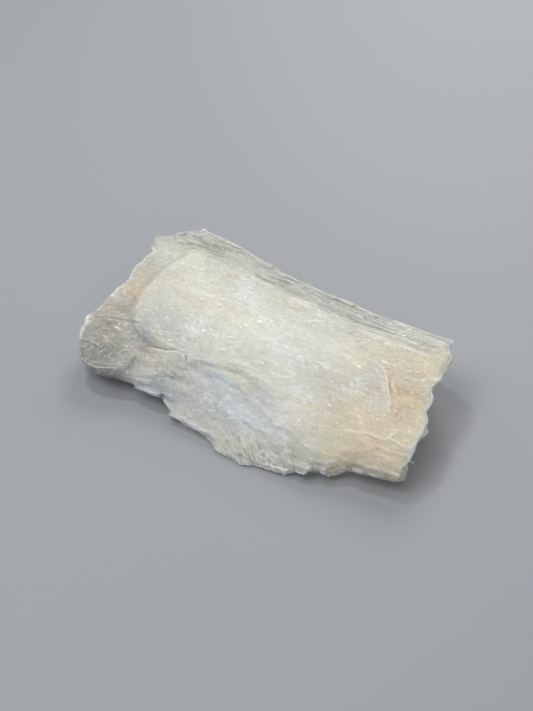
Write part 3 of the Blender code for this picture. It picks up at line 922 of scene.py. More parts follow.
    def wandered(self, places: np.ndarray) -> np.ndarray:
        """Move places about a little, so that soft patches get uneven edges.

        Args:
            places: Sheet coordinates in millimetres.

        Returns:
            The moved sheet coordinates.
        """
        drift = GradientNoise(41)
        aside = [drift.at(places / self.wander_waves + lag) for lag in (0.0, 9.0, 23.0)]
        return places + self.wander * np.stack(aside, axis=1)

    def at(self, places: np.ndarray, moved: np.ndarray, front: np.ndarray,
           zones: Zones) -> np.ndarray:
        """Work out the colour of each place, with its painted shade and painted light.

        Args:
            places: Sheet coordinates in millimetres.
            moved: The same places, moved about a little.
            front: How much each place belongs to the broken front, which gets painted shade.
            zones: Where the crystal's stretches lie.

        Returns:
            Linear colours, one row each.
        """
        base = np.tile(self.milk, (len(places), 1))
        for tint in self.tints:
            base = tint.over(base, moved)
        off_arc, beside = zones.chip_sides(places)
        # Beyond the chip's curved step: a deeper beige tone, darkened further as painted shade on the
        # step's shaded side.
        beyond = beside * within(self.beyond_chip, off_arc)
        base = mixed(base, self.chip_floor_tone_and_shade, self.chip_floor_tone_and_shade_share * beyond)
        before = beside * within(self.before_chip, off_arc)
        base = mixed(base, self.chip_frost, self.chip_frost_share * before)
        terrace = within(self.terrace_depth, places[:, 2]) * smoothstep(*self.terrace_x, places[:, 0])
        base *= 1.0 - self.terrace_shade * terrace[:, None]
        # Painted shade: the steep front slope is made darker and cooler, standing in for its shade.
        painted_steep_shade = self.front_painted_shade_share * front[:, None]
        base = base * (1.0 - painted_steep_shade) + base * np.array(self.front_painted_shade) * painted_steep_shade
        grey = base.mean(axis=1, keepdims=True)
        return np.clip(grey + (base - grey) * self.richness, 0.0, self.brightest)

    def clear(self, moved: np.ndarray) -> np.ndarray:
        """How clear the crystal may be at each place, before the windows in its milk."""
        return self.clearest * (1.0 - covered(self.milky_places, moved))

    def band(self, places: np.ndarray, zones: Zones) -> np.ndarray:
        """Tell how strongly the silky strokes show.

        Args:
            places: Sheet coordinates in millimetres.
            zones: Where the crystal's stretches lie.

        Returns:
            One share for each place, from 0 to 1.
        """
        terrace = smoothstep(*self.strokes_x, places[:, 0])
        terrace *= smoothstep(*self.strokes_v, places[:, 1])
        band = np.maximum(zones.band_share(places), self.terrace_strokes * terrace)
        return band * (1.0 - covered(self.unstriped, places))


@dataclass(frozen=True)
class EdgeRules:
    """How far edges stand out, in millimetres, before they whiten, where they do so less, and how
    deep creases get painted shade.
    """

    close_rounds: int = 5
    wide_rounds: int = 30
    ends: Span = (34.0, 42.0)
    ends_more: float = 0.06
    right: Span = (38.0, 44.0)
    right_less: float = 0.05
    rim: Span = (0.10, 0.34)
    sharp: Span = (0.0, 0.03)
    sharp_share: float = 0.65
    plain_less: float = 0.6
    shard_less: float = 0.55
    below_rim: Span = (13.4, 12.2)
    below_rim_less: float = 0.6
    back_less: float = 0.3
    facet_x: Span = (32.0, 35.0)
    facet_v: Span = (-18.6, -19.6)
    facet_less: float = 0.75
    nick: Span = (0.012, 0.07)
    nick_less: float = 0.7
    crease: Span = (-0.02, -0.09)
    crease_painted_shade: float = 0.12


@dataclass(frozen=True)
class Details:
    """Single features in sheet coordinates: splinters, pushed corners, seams and specks."""

    sheet: SheetFrame = SheetFrame()
    clear_of_rest: Span = (2.0, 3.0)
    wavers: tuple[Span, ...] = ((0.3, 2.2), (0.12, 0.7))
    shards: tuple[Shard, ...] = (
        Shard(-18.0, 31.2, 13.5, 9.0, 1.5, 1.1, 172.0, 0.0),
        Shard(10.4, 26.9, 13.4, 9.0, 1.5, 1.0, 174.0, 0.0),
        Shard(-24.2, -22.3, 9.6, 9.6, 1.7, 1.1, 186.0, 0.0),
        Shard(50.6, -13.9, 11.6, 3.0, 1.6, 0.9, 10.0, -8.0),
        Shard(50.4, -15.4, 9.6, 2.6, 1.4, 1.0, -14.0, 6.0),
        Shard(49.8, -16.9, 8.4, 3.2, 1.5, 1.1, -6.0, 0.0),
        Shard(-12.9, -25.1, 8.0, 6.4, 2.4, 1.8, 184.0, 0.0),
        Shard(27.0, -23.6, 7.8, 3.0, 1.8, 1.4, -72.0, 12.0),
        Shard(32.4, -23.2, 7.4, 3.0, 1.6, 1.2, -58.0, 10.0),
        Shard(8.6, -20.2, 11.0, 7.0, 1.0, 0.9, -12.0, 0.0),
        Shard(15.6, -18.4, 12.2, 5.0, 0.8, 0.8, -10.0, 3.0),
        Shard(-20.6, -16.0, 12.6, 9.0, 1.2, 1.1, -12.0, 0.0),
    )
    nudges: tuple[Nudge, ...] = (
        Nudge(-52.5, 27.5, -2.4, 1.3, 3.0),
        Nudge(-47.5, 32.2, -0.8, 1.2, 3.6),
        Nudge(-42.5, 34.8, -0.4, 0.9, 3.4),
        Nudge(48.8, 21.0, 1.6, 0.7, 3.2),
        Nudge(46.0, 26.0, 0.3, 0.9, 3.0),
        Nudge(51.0, -4.0, 0.7, 0.0, 4.0),
        Nudge(50.0, -13.0, 0.5, 0.0, 4.0),
        Nudge(1.7, -29.1, -0.1, -1.0, 2.6),
        Nudge(30.2, -26.0, -0.9, 1.7, 1.8),
        Nudge(24.6, -28.2, -0.3, 0.9, 1.2),
        Nudge(37.4, -22.6, -0.2, 0.8, 2.2),
    )
    seams: tuple[Seam, ...] = (
        Seam("chip edge", CHIP_ARC, 0.26, 0.12, whiteness=0.6),
        Seam("ledge edge", ((-31.0, -12.2), (-26.2, -11.4), (-22.6, -10.4), (-18.5, -9.9)), 0.3,
             0.1, whiteness=0.6),
        Seam("crack under plate", ((-31.0, -11.0), (-26.2, -10.7), (-22.7, -9.9), (-17.5, -9.4)),
             0.22, -0.25, darkness=0.5),
        Seam("crack mouth", ((-18.6, -9.8), (-17.6, -10.7), (-17.0, -11.9)), 0.5, -0.5,
             darkness=0.75),
        Seam("tan line", ((-7.8, -8.4), (-4.5, -7.7), (-2.0, -7.6), (1.1, -7.4), (4.7, -7.3)),
             0.26, -0.15, darkness=0.3),
        Seam("terrace line high", ((-52.0, -9.2), (-48.2, -7.1), (-42.0, -5.7), (-36.0, -5.8)),
             0.32, -0.2, darkness=0.4),
        Seam("terrace line low", ((-43.5, -13.2), (-40.9, -13.9), (-37.4, -14.4)), 0.35, -0.2,
             darkness=0.4),
        Seam("bright dash", ((17.5, -7.7), (20.1, -9.1), (22.5, -10.9)), 0.26, 0.15,
             whiteness=0.8),
        Seam("pale ridge", ((30.8, -14.4), (34.7, -13.3), (39.5, -12.5), (44.2, -12.6)), 0.28,
             0.12, whiteness=0.5),
        Seam("corner ridge", ((43.0, -13.4), (44.8, -10.6), (46.0, -8.4)), 0.26, 0.12,
             whiteness=0.5),
        Seam("facet top", ((35.0, -21.0), (38.7, -20.3), (43.0, -19.9), (50.4, -19.1)), 0.5,
             -0.2, darkness=0.3),
    )
    specks: tuple[Patch, ...] = (
        speck(27.2, -2.9, 1.5), speck(27.4, 5.0, 1.3), speck(33.0, 9.9, 2.2, -10.0),
        speck(44.7, 8.5, 1.4), speck(43.0, 8.0, 1.2), speck(1.6, -21.0, 2.2, 20.0),
        speck(15.5, -18.4, 2.2, 20.0), speck(18.9, -20.9, 2.0, 10.0),
        speck(-4.6, -20.7, 1.4, 30.0), speck(-2.0, -15.6, 1.6, -30.0),
        speck(23.5, -13.0, 2.2, 20.0), speck(26.4, -12.2, 1.6, -40.0),
        speck(29.4, 1.8, 1.8, 30.0), speck(28.2, -0.6, 1.5, -30.0), speck(30.4, -2.2, 1.6, 10.0),
        speck(-20.6, 1.4, 2.6, -50.0), speck(-21.8, -1.0, 2.0, -30.0),
        speck(-10.4, -14.0, 1.4, 30.0), speck(5.6, -17.6, 1.5, 20.0),
        speck(-9.6, -14.6, 1.2, -20.0), speck(-6.8, -13.2, 1.4, 10.0),
        speck(-3.0, -17.9, 1.5, 25.0), speck(0.6, -19.4, 1.2, -10.0),
        speck(10.6, -18.4, 1.4, 20.0), speck(20.6, -8.6, 2.0, -50.0),
        speck(14.2, -26.0, 2.2, 60.0), speck(16.6, -26.4, 2.6, 60.0),
        speck(-2.4, -27.0, 2.4, -20.0), speck(20.8, -23.8, 2.4, 0.0),
    )

    def off_rest(self, places: np.ndarray) -> np.ndarray:
        """Whether each place is well above the face that the blade rests on, from 0 to 1."""
        return smoothstep(*self.clear_of_rest, self.sheet.height(places))

    def shard_share(self, places: np.ndarray) -> np.ndarray:
        """How near each place is to any of the splinters, from 0 to 1."""
        return np.maximum.reduce([shard.share(places) for shard in self.shards])

    def seam_shares(self, places: np.ndarray) -> list[tuple[Seam, np.ndarray]]:
        """Find how near every place is to each seam.

        Args:
            places: Sheet coordinates in millimetres.

        Returns:
            Each seam with one share for each place, from 0 to 1.
        """
        waver = GradientNoise(31)
        aside = [sum(height * waver.at(places / size + lag) for height, size in self.wavers)
                 for lag in (0.0, 40.0)]
        wander = np.stack(aside, axis=1)
        above = self.off_rest(places)
        return [(seam, seam.share(places, wander) * above) for seam in self.seams]

    def speck_share(self, places: np.ndarray) -> np.ndarray:
        """How near each place is to any of the bright specks, from 0 to 1."""
        nearest = np.maximum.reduce([spot.share(places) for spot in self.specks])
        return nearest * self.off_rest(places)


@dataclass(frozen=True)
class Crystal:
    """The whole blade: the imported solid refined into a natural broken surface."""

    sheet: SheetFrame = SheetFrame()
    zones: Zones = Zones()
    relief: Relief = Relief()
    details: Details = Details()
    milk: MilkColour = MilkColour()
    edges: EdgeRules = EdgeRules()
    end_broken: float = 0.7
    voxel: float = 0.00033
    most_triangles: int = 192000
    rest_depth: float = 0.35
    rest_relief: float = 0.12
    rest_waves: Ripple = Ripple(1.0, (9.0, 4.0, 4.0), layers=3)
    speck_rise: float = 0.15
    normal_rounds: int = 4
    crisp_rounds: int = 2
    worn_rounds: int = 5
    front_rounds: int = 36
    front_detail: float = 0.8
    front_blend_rounds: int = 8
    facet_rounds: int = 90
    inside_lip: Span = (0.2, 2.2)
    lift_off: Span = (0.0, 0.5)
    rest_touch: Span = (0.1, 0.0)
    rest_hollows: Span = (-0.4, 1.0)
    top_tilt: Span = (0.72, 0.93)
    end_tilt: Span = (0.38, 0.7)
    back_tilt: Span = (0.3, 0.7)
    front_reach: Span = (4.0, -6.0)
    base_height: float = 0.05
    grain_top: float = 0.12
    grain_band: float = 4.0
    grain_back: float = 1.3
    grain_front: float = 0.3

    def build(self) -> bpy.types.Object:
        """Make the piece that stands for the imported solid.

        Returns:
            The finished object, at the origin and unturned.
        """
        fine = FineMesh(self.remeshed())
        self.undulate(fine)
        self.push_outline(fine)
        self.break_faces(fine)
        self.grain_lines(fine)
        mesh = self.thinned(fine)
        self.paint(FineMesh(mesh))
        piece = bpy.data.objects.new("selenite_crystal", mesh)
        bpy.context.scene.collection.objects.link(piece)
        for polygon in mesh.polygons:
            polygon.use_smooth = True
        return piece

    def remeshed(self) -> bpy.types.Mesh:
        """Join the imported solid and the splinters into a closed, evenly fine mesh.

        Returns:
            The mesh, in the row frame.
        """
        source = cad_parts[CAD_NODE].data
        shape = bmesh.new()
        shape.from_mesh(source)
        bmesh.ops.remove_doubles(shape, verts=shape.verts, dist=0.001 * MM)
        for shard in self.details.shards:
            shard.add_to(shape, self.sheet)
        mesh = bpy.data.meshes.new("crystal_copy")
        shape.to_mesh(mesh)
        shape.free()
        copy = bpy.data.objects.new("crystal_copy", mesh)
        bpy.context.scene.collection.objects.link(copy)
        modifier = copy.modifiers.new("even", "REMESH")
        modifier.mode = "VOXEL"
        modifier.voxel_size = self.voxel
        mesh = self.evaluated(copy)
        self.drop_crumbs(mesh)
        return mesh

    @staticmethod
    def drop_crumbs(mesh: bpy.types.Mesh) -> None:
        """Delete every loose piece but the largest.

        Args:
            mesh: The mesh to clean.
        """
        shape = bmesh.new()
        shape.from_mesh(mesh)
        unseen = set(shape.verts)
        pieces = []
        while unseen:
            piece = [unseen.pop()]
            for point in piece:
                near = {edge.other_vert(point) for edge in point.link_edges} & unseen
                unseen -= near
                piece.extend(near)
            pieces.append(piece)
        pieces.sort(key=len)
        for piece in pieces[:-1]:
            bmesh.ops.delete(shape, geom=piece, context="VERTS")
        shape.to_mesh(mesh)
        shape.free()

    def thinned(self, fine: FineMesh) -> bpy.types.Mesh:
        """Make the flattest stretches of the refined mesh coarser.

        Args:
            fine: The refined mesh.

        Returns:
            A new mesh with no more than the allowed triangles.
        """
        fine.store()
        copy = bpy.data.objects.new("crystal_fine", fine.mesh)
        bpy.context.scene.collection.objects.link(copy)
        fine.mesh.calc_loop_triangles()
        modifier = copy.modifiers.new("thin", "DECIMATE")
        modifier.ratio = min(1.0, self.most_triangles / len(fine.mesh.loop_triangles))
        return self.evaluated(copy)

    @staticmethod
    def evaluated(thing: bpy.types.Object) -> bpy.types.Mesh:
        """Apply an object's modifiers and remove the object.

        Args:
            thing: The object, which is gone afterwards.

        Returns:
            A new mesh with the modifiers applied.
        """
        seen = thing.evaluated_get(bpy.context.evaluated_depsgraph_get())
        mesh = bpy.data.meshes.new_from_object(seen)
        used = thing.data
        bpy.data.objects.remove(thing)
        bpy.data.meshes.remove(used)
        return mesh

    def shares(self, fine: FineMesh) -> dict[Face, np.ndarray]:
        """Tell how much each point belongs to each kind of surface.

        Args:
            fine: The mesh.

        Returns:
            For each kind, one share for each point, from 0 to 1.
        """
        ways = self.sheet.ways(fine.smoothed(fine.normals(), self.normal_rounds))
        places = self.sheet.places(fine.points)
        top = smoothstep(*self.top_tilt, ways[:, 2])
        end = smoothstep(*self.end_tilt, np.abs(ways[:, 0]))
        back = smoothstep(*self.back_tilt, ways[:, 1]) * (1.0 - end)
        front = (1.0 - top) * (1.0 - end) * (1.0 - back)
        front *= smoothstep(*self.front_reach, places[:, 1])
        off_base = smoothstep(self.base_height, self.rest_depth, fine.points[:, 2] / MM)
        return {
            Face.CLEAVAGE: top * off_base,
            Face.END: end * off_base,
            Face.BACK: back * off_base,
            Face.FRONT: front * off_base,
        }

    def undulate(self, fine: FineMesh) -> None:
        """Soften the solid's edges and roll its faces gently, as grown and worn gypsum does.

        Args:
            fine: The mesh to change.
        """
        places = self.sheet.places(fine.points)
        shares = self.shares(fine)
        self.soften(fine, places, shares)
        height = self.relief.swell(places, shares)
        fine.points += fine.normals() * (height * MM)[:, None]

    def soften(self, fine: FineMesh, places: np.ndarray, shares: dict[Face, np.ndarray]) -> None:
        """Wear the top a little, melt the front together and plane the stretches without steps.

        Args:
            fine: The mesh to change.
            places: Its points in sheet coordinates.
            shares: How much each point belongs to each kind of surface.
        """
        lifted = smoothstep(*self.lift_off, fine.points[:, 2] / MM)[:, None]
        crisp = fine.smoothed(fine.points, self.crisp_rounds)
        rounded = fine.smoothed(crisp, self.worn_rounds)
        melted = fine.smoothed(fine.points, self.front_rounds)
        melted += self.front_detail * fine.smoothed(fine.points - melted, self.front_rounds)
        planed = fine.smoothed(melted, self.facet_rounds)
        kept = (1.0 - self.details.shard_share(places))[:, None]
        top, front = shares[Face.CLEAVAGE][:, None], shares[Face.FRONT][:, None]
        front = fine.smoothed(front, self.front_blend_rounds)
        inside = smoothstep(*self.inside_lip, self.zones.above_lip(places))[:, None]
        wanted = crisp + (rounded - crisp) * top * kept
        wanted += (melted - wanted) * front * kept * inside
        wanted += (planed - wanted) * self.zones.plain_share(places)[:, None] * kept * lifted
        fine.points += (wanted - fine.points) * lifted

    def push_outline(self, fine: FineMesh) -> None:
        """Push small corners of the outline out and small notches of it in.

        Args:
            fine: The mesh to change.
        """
        places = self.sheet.places(fine.points)
        for nudge in self.details.nudges:
            fine.points[:, :2] += nudge.move(places) * MM

    def break_faces(self, fine: FineMesh) -> None:
        """Break each kind of face its own way: thin steps, splinter ends and hackly chips.

        Args:
            fine: The mesh to change.
        """
        places = self.sheet.places(fine.points)
        shares = self.shares(fine)
        ways = self.sheet.ways(fine.normals())
        relief = self.relief
        moves = np.zeros_like(fine.points)
        moves[:, 2] += shares[Face.CLEAVAGE] * relief.thin_steps(places)
        moves[:, 0] += shares[Face.END] * np.sign(ways[:, 0]) * relief.splinters(places)
        moves += shares[Face.FRONT][:, None] * ways * relief.hackle(places)[:, None]
        moves[:, 2] += shares[Face.FRONT] * relief.sheet_steps(places)
        moves += ways * relief.comb(places)[:, None]
        under = smoothstep(*self.rest_touch, fine.points[:, 2] / MM)
        fine.points += self.sheet.row_ways(moves) * MM
        uneven = self.rest_waves.at(GradientNoise(51), fine.points / MM)
        hollows = smoothstep(*self.rest_hollows, uneven)
        fine.points[:, 2] += under * self.rest_relief * MM * hollows
        self.keep_on_rest(fine)

    def grain_lines(self, fine: FineMesh) -> None:
        """Cut the striae along the grain, deepest on the band and the back, and raise details.

        Args:
            fine: The mesh to change.
        """
        places = self.sheet.places(fine.points)
        shares = self.shares(fine)
        band = self.zones.band_share(places)
        strength = self.grain_top * shares[Face.CLEAVAGE] * (1.0 + self.grain_band * band)
        strength += self.grain_back * shares[Face.BACK] + self.grain_front * shares[Face.FRONT]
        rise = self.relief.grain_cut(places) * strength
        for seam, share in self.details.seam_shares(places):
            rise += seam.rise * share
        rise += self.speck_rise * self.details.speck_share(places)
        fine.points += fine.normals() * (rise * MM)[:, None]
        self.keep_on_rest(fine)

    @staticmethod
    def keep_on_rest(fine: FineMesh) -> None:
        """Keep every point on or above the plane that the blade rests on."""
        fine.points[:, 2] = np.maximum(fine.points[:, 2], 0.0)

    def paint(self, fine: FineMesh) -> None:
        """Store what the finish reads from the mesh.

        Args:
            fine: The finished mesh.
        """
        places = self.sheet.places(fine.points)
        shares = self.shares(fine)
        self.paint_edges(fine, places, shares)
        fine.attribute("band", self.milk.band(places, self.zones))
        fine.attribute("comb", self.zones.comb_share(places))
        broken = shares[Face.FRONT] + self.end_broken * shares[Face.END]
        fine.attribute("broken", np.clip(broken, 0.0, 1.0))
        moved = self.milk.wandered(places)
        # The stored tint includes painted shade and painted light.
        fine.colour("tint", self.milk.at(places, moved, shares[Face.FRONT], self.zones))
        fine.attribute("clear", self.milk.clear(moved))
        fine.attribute("feather", covered(self.milk.feathers, moved))

    def paint_edges(self, fine: FineMesh, places: np.ndarray,
                    shares: dict[Face, np.ndarray]) -> None:
        """Store the white rims, partly painted rim glow, the bright specks, which are painted glints,
        the frosted nicks, and the dark cracks with painted shade in creases.

        Args:
            fine: The finished mesh.
            places: Its points in sheet coordinates.
            shares: How much each point belongs to each kind of surface.
        """
        rules = self.edges
        normals = fine.normals()
        out_close = fine.standing_out(rules.close_rounds, normals)
        out_wide = fine.standing_out(rules.wide_rounds, normals)
        out_wide += rules.ends_more * smoothstep(*rules.ends, np.abs(places[:, 0]))
        out_wide -= rules.right_less * smoothstep(*rules.right, places[:, 0])
        # White rims: partly frosted broken edges, partly painted rim glow standing in for light
        # through thin edges.
        rim = smoothstep(*rules.rim, out_wide)
        rim *= 1.0 - rules.plain_less * self.zones.plain_share(places)
        rim *= 1.0 - rules.shard_less * self.details.shard_share(places)
        rim *= 1.0 - rules.sharp_share + rules.sharp_share * smoothstep(*rules.sharp, out_close)
        below_rim = shares[Face.END] * smoothstep(*rules.below_rim, places[:, 2])
        rim *= 1.0 - rules.below_rim_less * below_rim - rules.back_less * shares[Face.BACK]
        facet = smoothstep(*rules.facet_x, places[:, 0]) * smoothstep(*rules.facet_v, places[:, 1])
        rim *= 1.0 - rules.facet_less * facet
        nick = smoothstep(*rules.nick, out_close) * (1.0 - rules.nick_less * below_rim)
        # Painted shade: darker where the surface sinks into a crease, stored with the cracks.
        dark = rules.crease_painted_shade * smoothstep(*rules.crease, out_close)
        for seam, share in self.details.seam_shares(places):
            rim = np.maximum(rim, seam.whiteness * share)
            dark = np.maximum(dark, seam.darkness * share)
        fine.attribute("rim", rim)
        fine.attribute("speck", self.details.speck_share(places))
        fine.attribute("nick", nick)
        fine.attribute("crack", dark)


class NodeBuilder:
    """A short way to add and wire shader nodes."""

    def __init__(self, material: bpy.types.Material) -> None:
        """Start from the material's own tree."""
        self.tree = material.node_tree

    def add(self, kind: str, **settings: object) -> bpy.types.Node:
        """Add a node and set its properties.

        Args:
            kind: The node's type.
            **settings: Properties of the node by name.

        Returns:
            The new node.
        """
        node = self.tree.nodes.new(kind)
        for name, value in settings.items():
            setattr(node, name, value)
        return node

    def wire(self, source: Socket, target: Socket) -> None:
        """Join two sockets."""
        self.tree.links.new(source, target)

    def give(self, target: Socket, given: Given) -> None:
        """Set a socket to a number or a colour, or join another socket to it.

        Args:
            target: The socket.
            given: What it gets.
        """
        if isinstance(given, tuple):
            target.default_value = (*given, 1.0)
        elif isinstance(given, (int, float)):
            target.default_value = given
        else:
            self.wire(given, target)

    def value(self, name: str) -> Socket:
        """Read a number stored on the mesh."""
        return self.add("ShaderNodeAttribute", attribute_name=name).outputs["Fac"]

    def stored(self, name: str, strength: float, base: float = 0.0) -> Socket:
        """A number stored on the mesh, times a strength and plus a base."""
        return self.math("ADD", self.math("MULTIPLY", self.value(name), strength), base)

    def math(self, operation: str, first: Given, second: Given = 0.0) -> Socket:
        """Work out a number from two others.

        Args:
            operation: What to do with them.
            first: A socket or a number.
            second: A socket or a number.

        Returns:
            The result's socket.
        """
        node = self.add("ShaderNodeMath", operation=operation)
        self.give(node.inputs[0], first)
        self.give(node.inputs[1], second)
        return node.outputs[0]

    def ramp(self, source: Socket, low: float, high: float,
             to_low: float = 0.0, to_high: float = 1.0) -> Socket:
        """Map a number from one range to another, smoothly and clamped.

        Args:
            source: The number.
            low: Start of its range.
            high: End of its range.
            to_low: What the start becomes.
            to_high: What the end becomes.

        Returns:
            The mapped number's socket.
        """
        node = self.add("ShaderNodeMapRange", interpolation_type="SMOOTHSTEP")
        self.wire(source, node.inputs["Value"])
        ends = {"From Min": low, "From Max": high, "To Min": to_low, "To Max": to_high}
        for name, value in ends.items():
            node.inputs[name].default_value = value
        return node.outputs["Result"]

    def over(self, shade: Socket, share: Socket, strength: Given, colour: Rgb) -> Socket:
        """Lay a colour over another one.

        Args:
            shade: The colour below.
            share: How far the new colour covers it.
            strength: What the share is multiplied by.
            colour: The new colour, in linear values.

        Returns:
            The mixed colour's socket.
        """
        node = self.add("ShaderNodeMix", data_type="RGBA", blend_type="MIX")
        self.give(node.inputs[0], self.math("MULTIPLY", share, strength))
        self.give(node.inputs[6], shade)
        self.give(node.inputs[7], colour)
        return node.outputs[2]

    def grain_noise(self, across: float, along: float, detail: float = 2.0, offset: float = 0.0,
                    rough: float = 0.5, turn: float = 0.0) -> Socket:
        """Noise stretched along the grain.

        Args:
            across: Cells for each metre across the grain.
            along: Cells for each metre along it.
            detail: Finer layers.
            offset: Shift that makes one pattern unlike another.
            rough: Strength of each finer layer.
            turn: How far the pattern is turned on the sheets, in radians.

        Returns:
            The noise as a number of 0 to 1.
        """
        noise = self.add("ShaderNodeTexNoise")
        noise.inputs["Scale"].default_value = 1.0
        noise.inputs["Detail"].default_value = detail
        noise.inputs["Roughness"].default_value = rough
        self.wire(self.grain_places(across, along, offset, turn), noise.inputs["Vector"])
        return noise.outputs[0]

    def grain_places(self, across: float, along: float, offset: float,
                     turn: float = 0.0) -> Socket:
        """Places on the crystal, turned to the grain and scaled along and across it.

        Args:
            across: Units for each metre across the grain.
            along: Units for each metre along it.
            offset: Shift that makes one pattern unlike another.
            turn: How far the places are turned on the sheets, in radians.

        Returns:
            The places' socket.
        """
        where = self.add("ShaderNodeTexCoord").outputs["Object"]
        turned = self.add("ShaderNodeMapping", vector_type="POINT")
        turned.inputs["Rotation"].default_value = (-SheetFrame().dip, 0.0, turn)
        self.wire(where, turned.inputs["Vector"])
        scaled = self.add("ShaderNodeMapping", vector_type="POINT")
        scaled.inputs["Scale"].default_value = (along, across, across)
        scaled.inputs["Location"].default_value = (offset, offset, offset)
        self.wire(turned.outputs[0], scaled.inputs["Vector"])
        return scaled.outputs[0]

    def relief(self, grain: tuple[float, ...], strength: float, height: float) -> bpy.types.Node:
        """A bump made by noise along the grain.

        Args:
            grain: The noise's settings.
            strength: How strongly it shows.
            height: How high it is, in millimetres.

        Returns:
            The bump's node.
        """
        bump = self.add("ShaderNodeBump")
        bump.inputs["Strength"].default_value = strength
        bump.inputs["Distance"].default_value = height * MM
        self.wire(self.grain_noise(*grain), bump.inputs["Height"])
        return bump

    def cells(self, across: float, along: float, offset: float, turn: float = 0.0) -> bpy.types.Node:
        """Small cells stretched along the grain.

        Args:
            across: Cells for each metre across the grain.
            along: Cells for each metre along it.
            offset: Shift that makes one pattern unlike another.
            turn: How far the pattern is turned on the sheets, in radians.

        Returns:
            The cells' node.
        """
        cells = self.add("ShaderNodeTexVoronoi")
        cells.inputs["Scale"].default_value = 1.0
        self.wire(self.grain_places(across, along, offset, turn), cells.inputs["Vector"])
        return cells

    def facets(self, across: float, along: float, offset: float) -> Socket:
        """A random vector of -0.5 to 0.5 for each small cleavage spot.

        Args:
            across: Spots for each metre across the grain.
            along: Spots for each metre along it.
            offset: Shift that makes one pattern unlike another.

        Returns:
            The vector's socket.
        """
        middle = self.add("ShaderNodeVectorMath", operation="SUBTRACT")
        middle.inputs[1].default_value = (0.5, 0.5, 0.5)
        self.wire(self.cells(across, along, offset).outputs["Color"], middle.inputs[0])
        return middle.outputs[0]

    def tipped(self, normal: Socket, aside: Socket, amount: Given) -> Socket:
        """Tip a normal aside.

        Args:
            normal: The normal.
            aside: The vector that it is tipped along.
            amount: What the vector is multiplied by.

        Returns:
            The tipped normal's socket.
        """
        scaled = self.add("ShaderNodeVectorMath", operation="SCALE")
        self.wire(aside, scaled.inputs[0])
        self.give(scaled.inputs["Scale"], amount)
        total = self.add("ShaderNodeVectorMath", operation="ADD")
        self.wire(normal, total.inputs[0])
        self.wire(scaled.outputs[0], total.inputs[1])
        even = self.add("ShaderNodeVectorMath", operation="NORMALIZE")
        self.wire(total.outputs[0], even.inputs[0])
        return even.outputs[0]


@dataclass(frozen=True)
class Veil:
    """A grain pattern in the crystal's colour, as strong as a stored number if it follows one."""

    name: str
    grain: tuple[float, ...]
    shows: Span
    colour: Rgb
    strength: float
    follows: str = ""
    base: float = 0.0

    def over(self, nodes: NodeBuilder, shade: Socket) -> Socket:
        """Lay the pattern over a colour.

        Args:
            nodes: The material's nodes.
            shade: The colour below.

        Returns:
            The mixed colour's socket.
        """
        pattern = nodes.ramp(nodes.grain_noise(*self.grain), *self.shows)
        strength = self.strength
        if self.follows:
            strength = nodes.stored(self.follows, self.strength, self.base)
        return nodes.over(shade, pattern, strength, display(*self.colour))


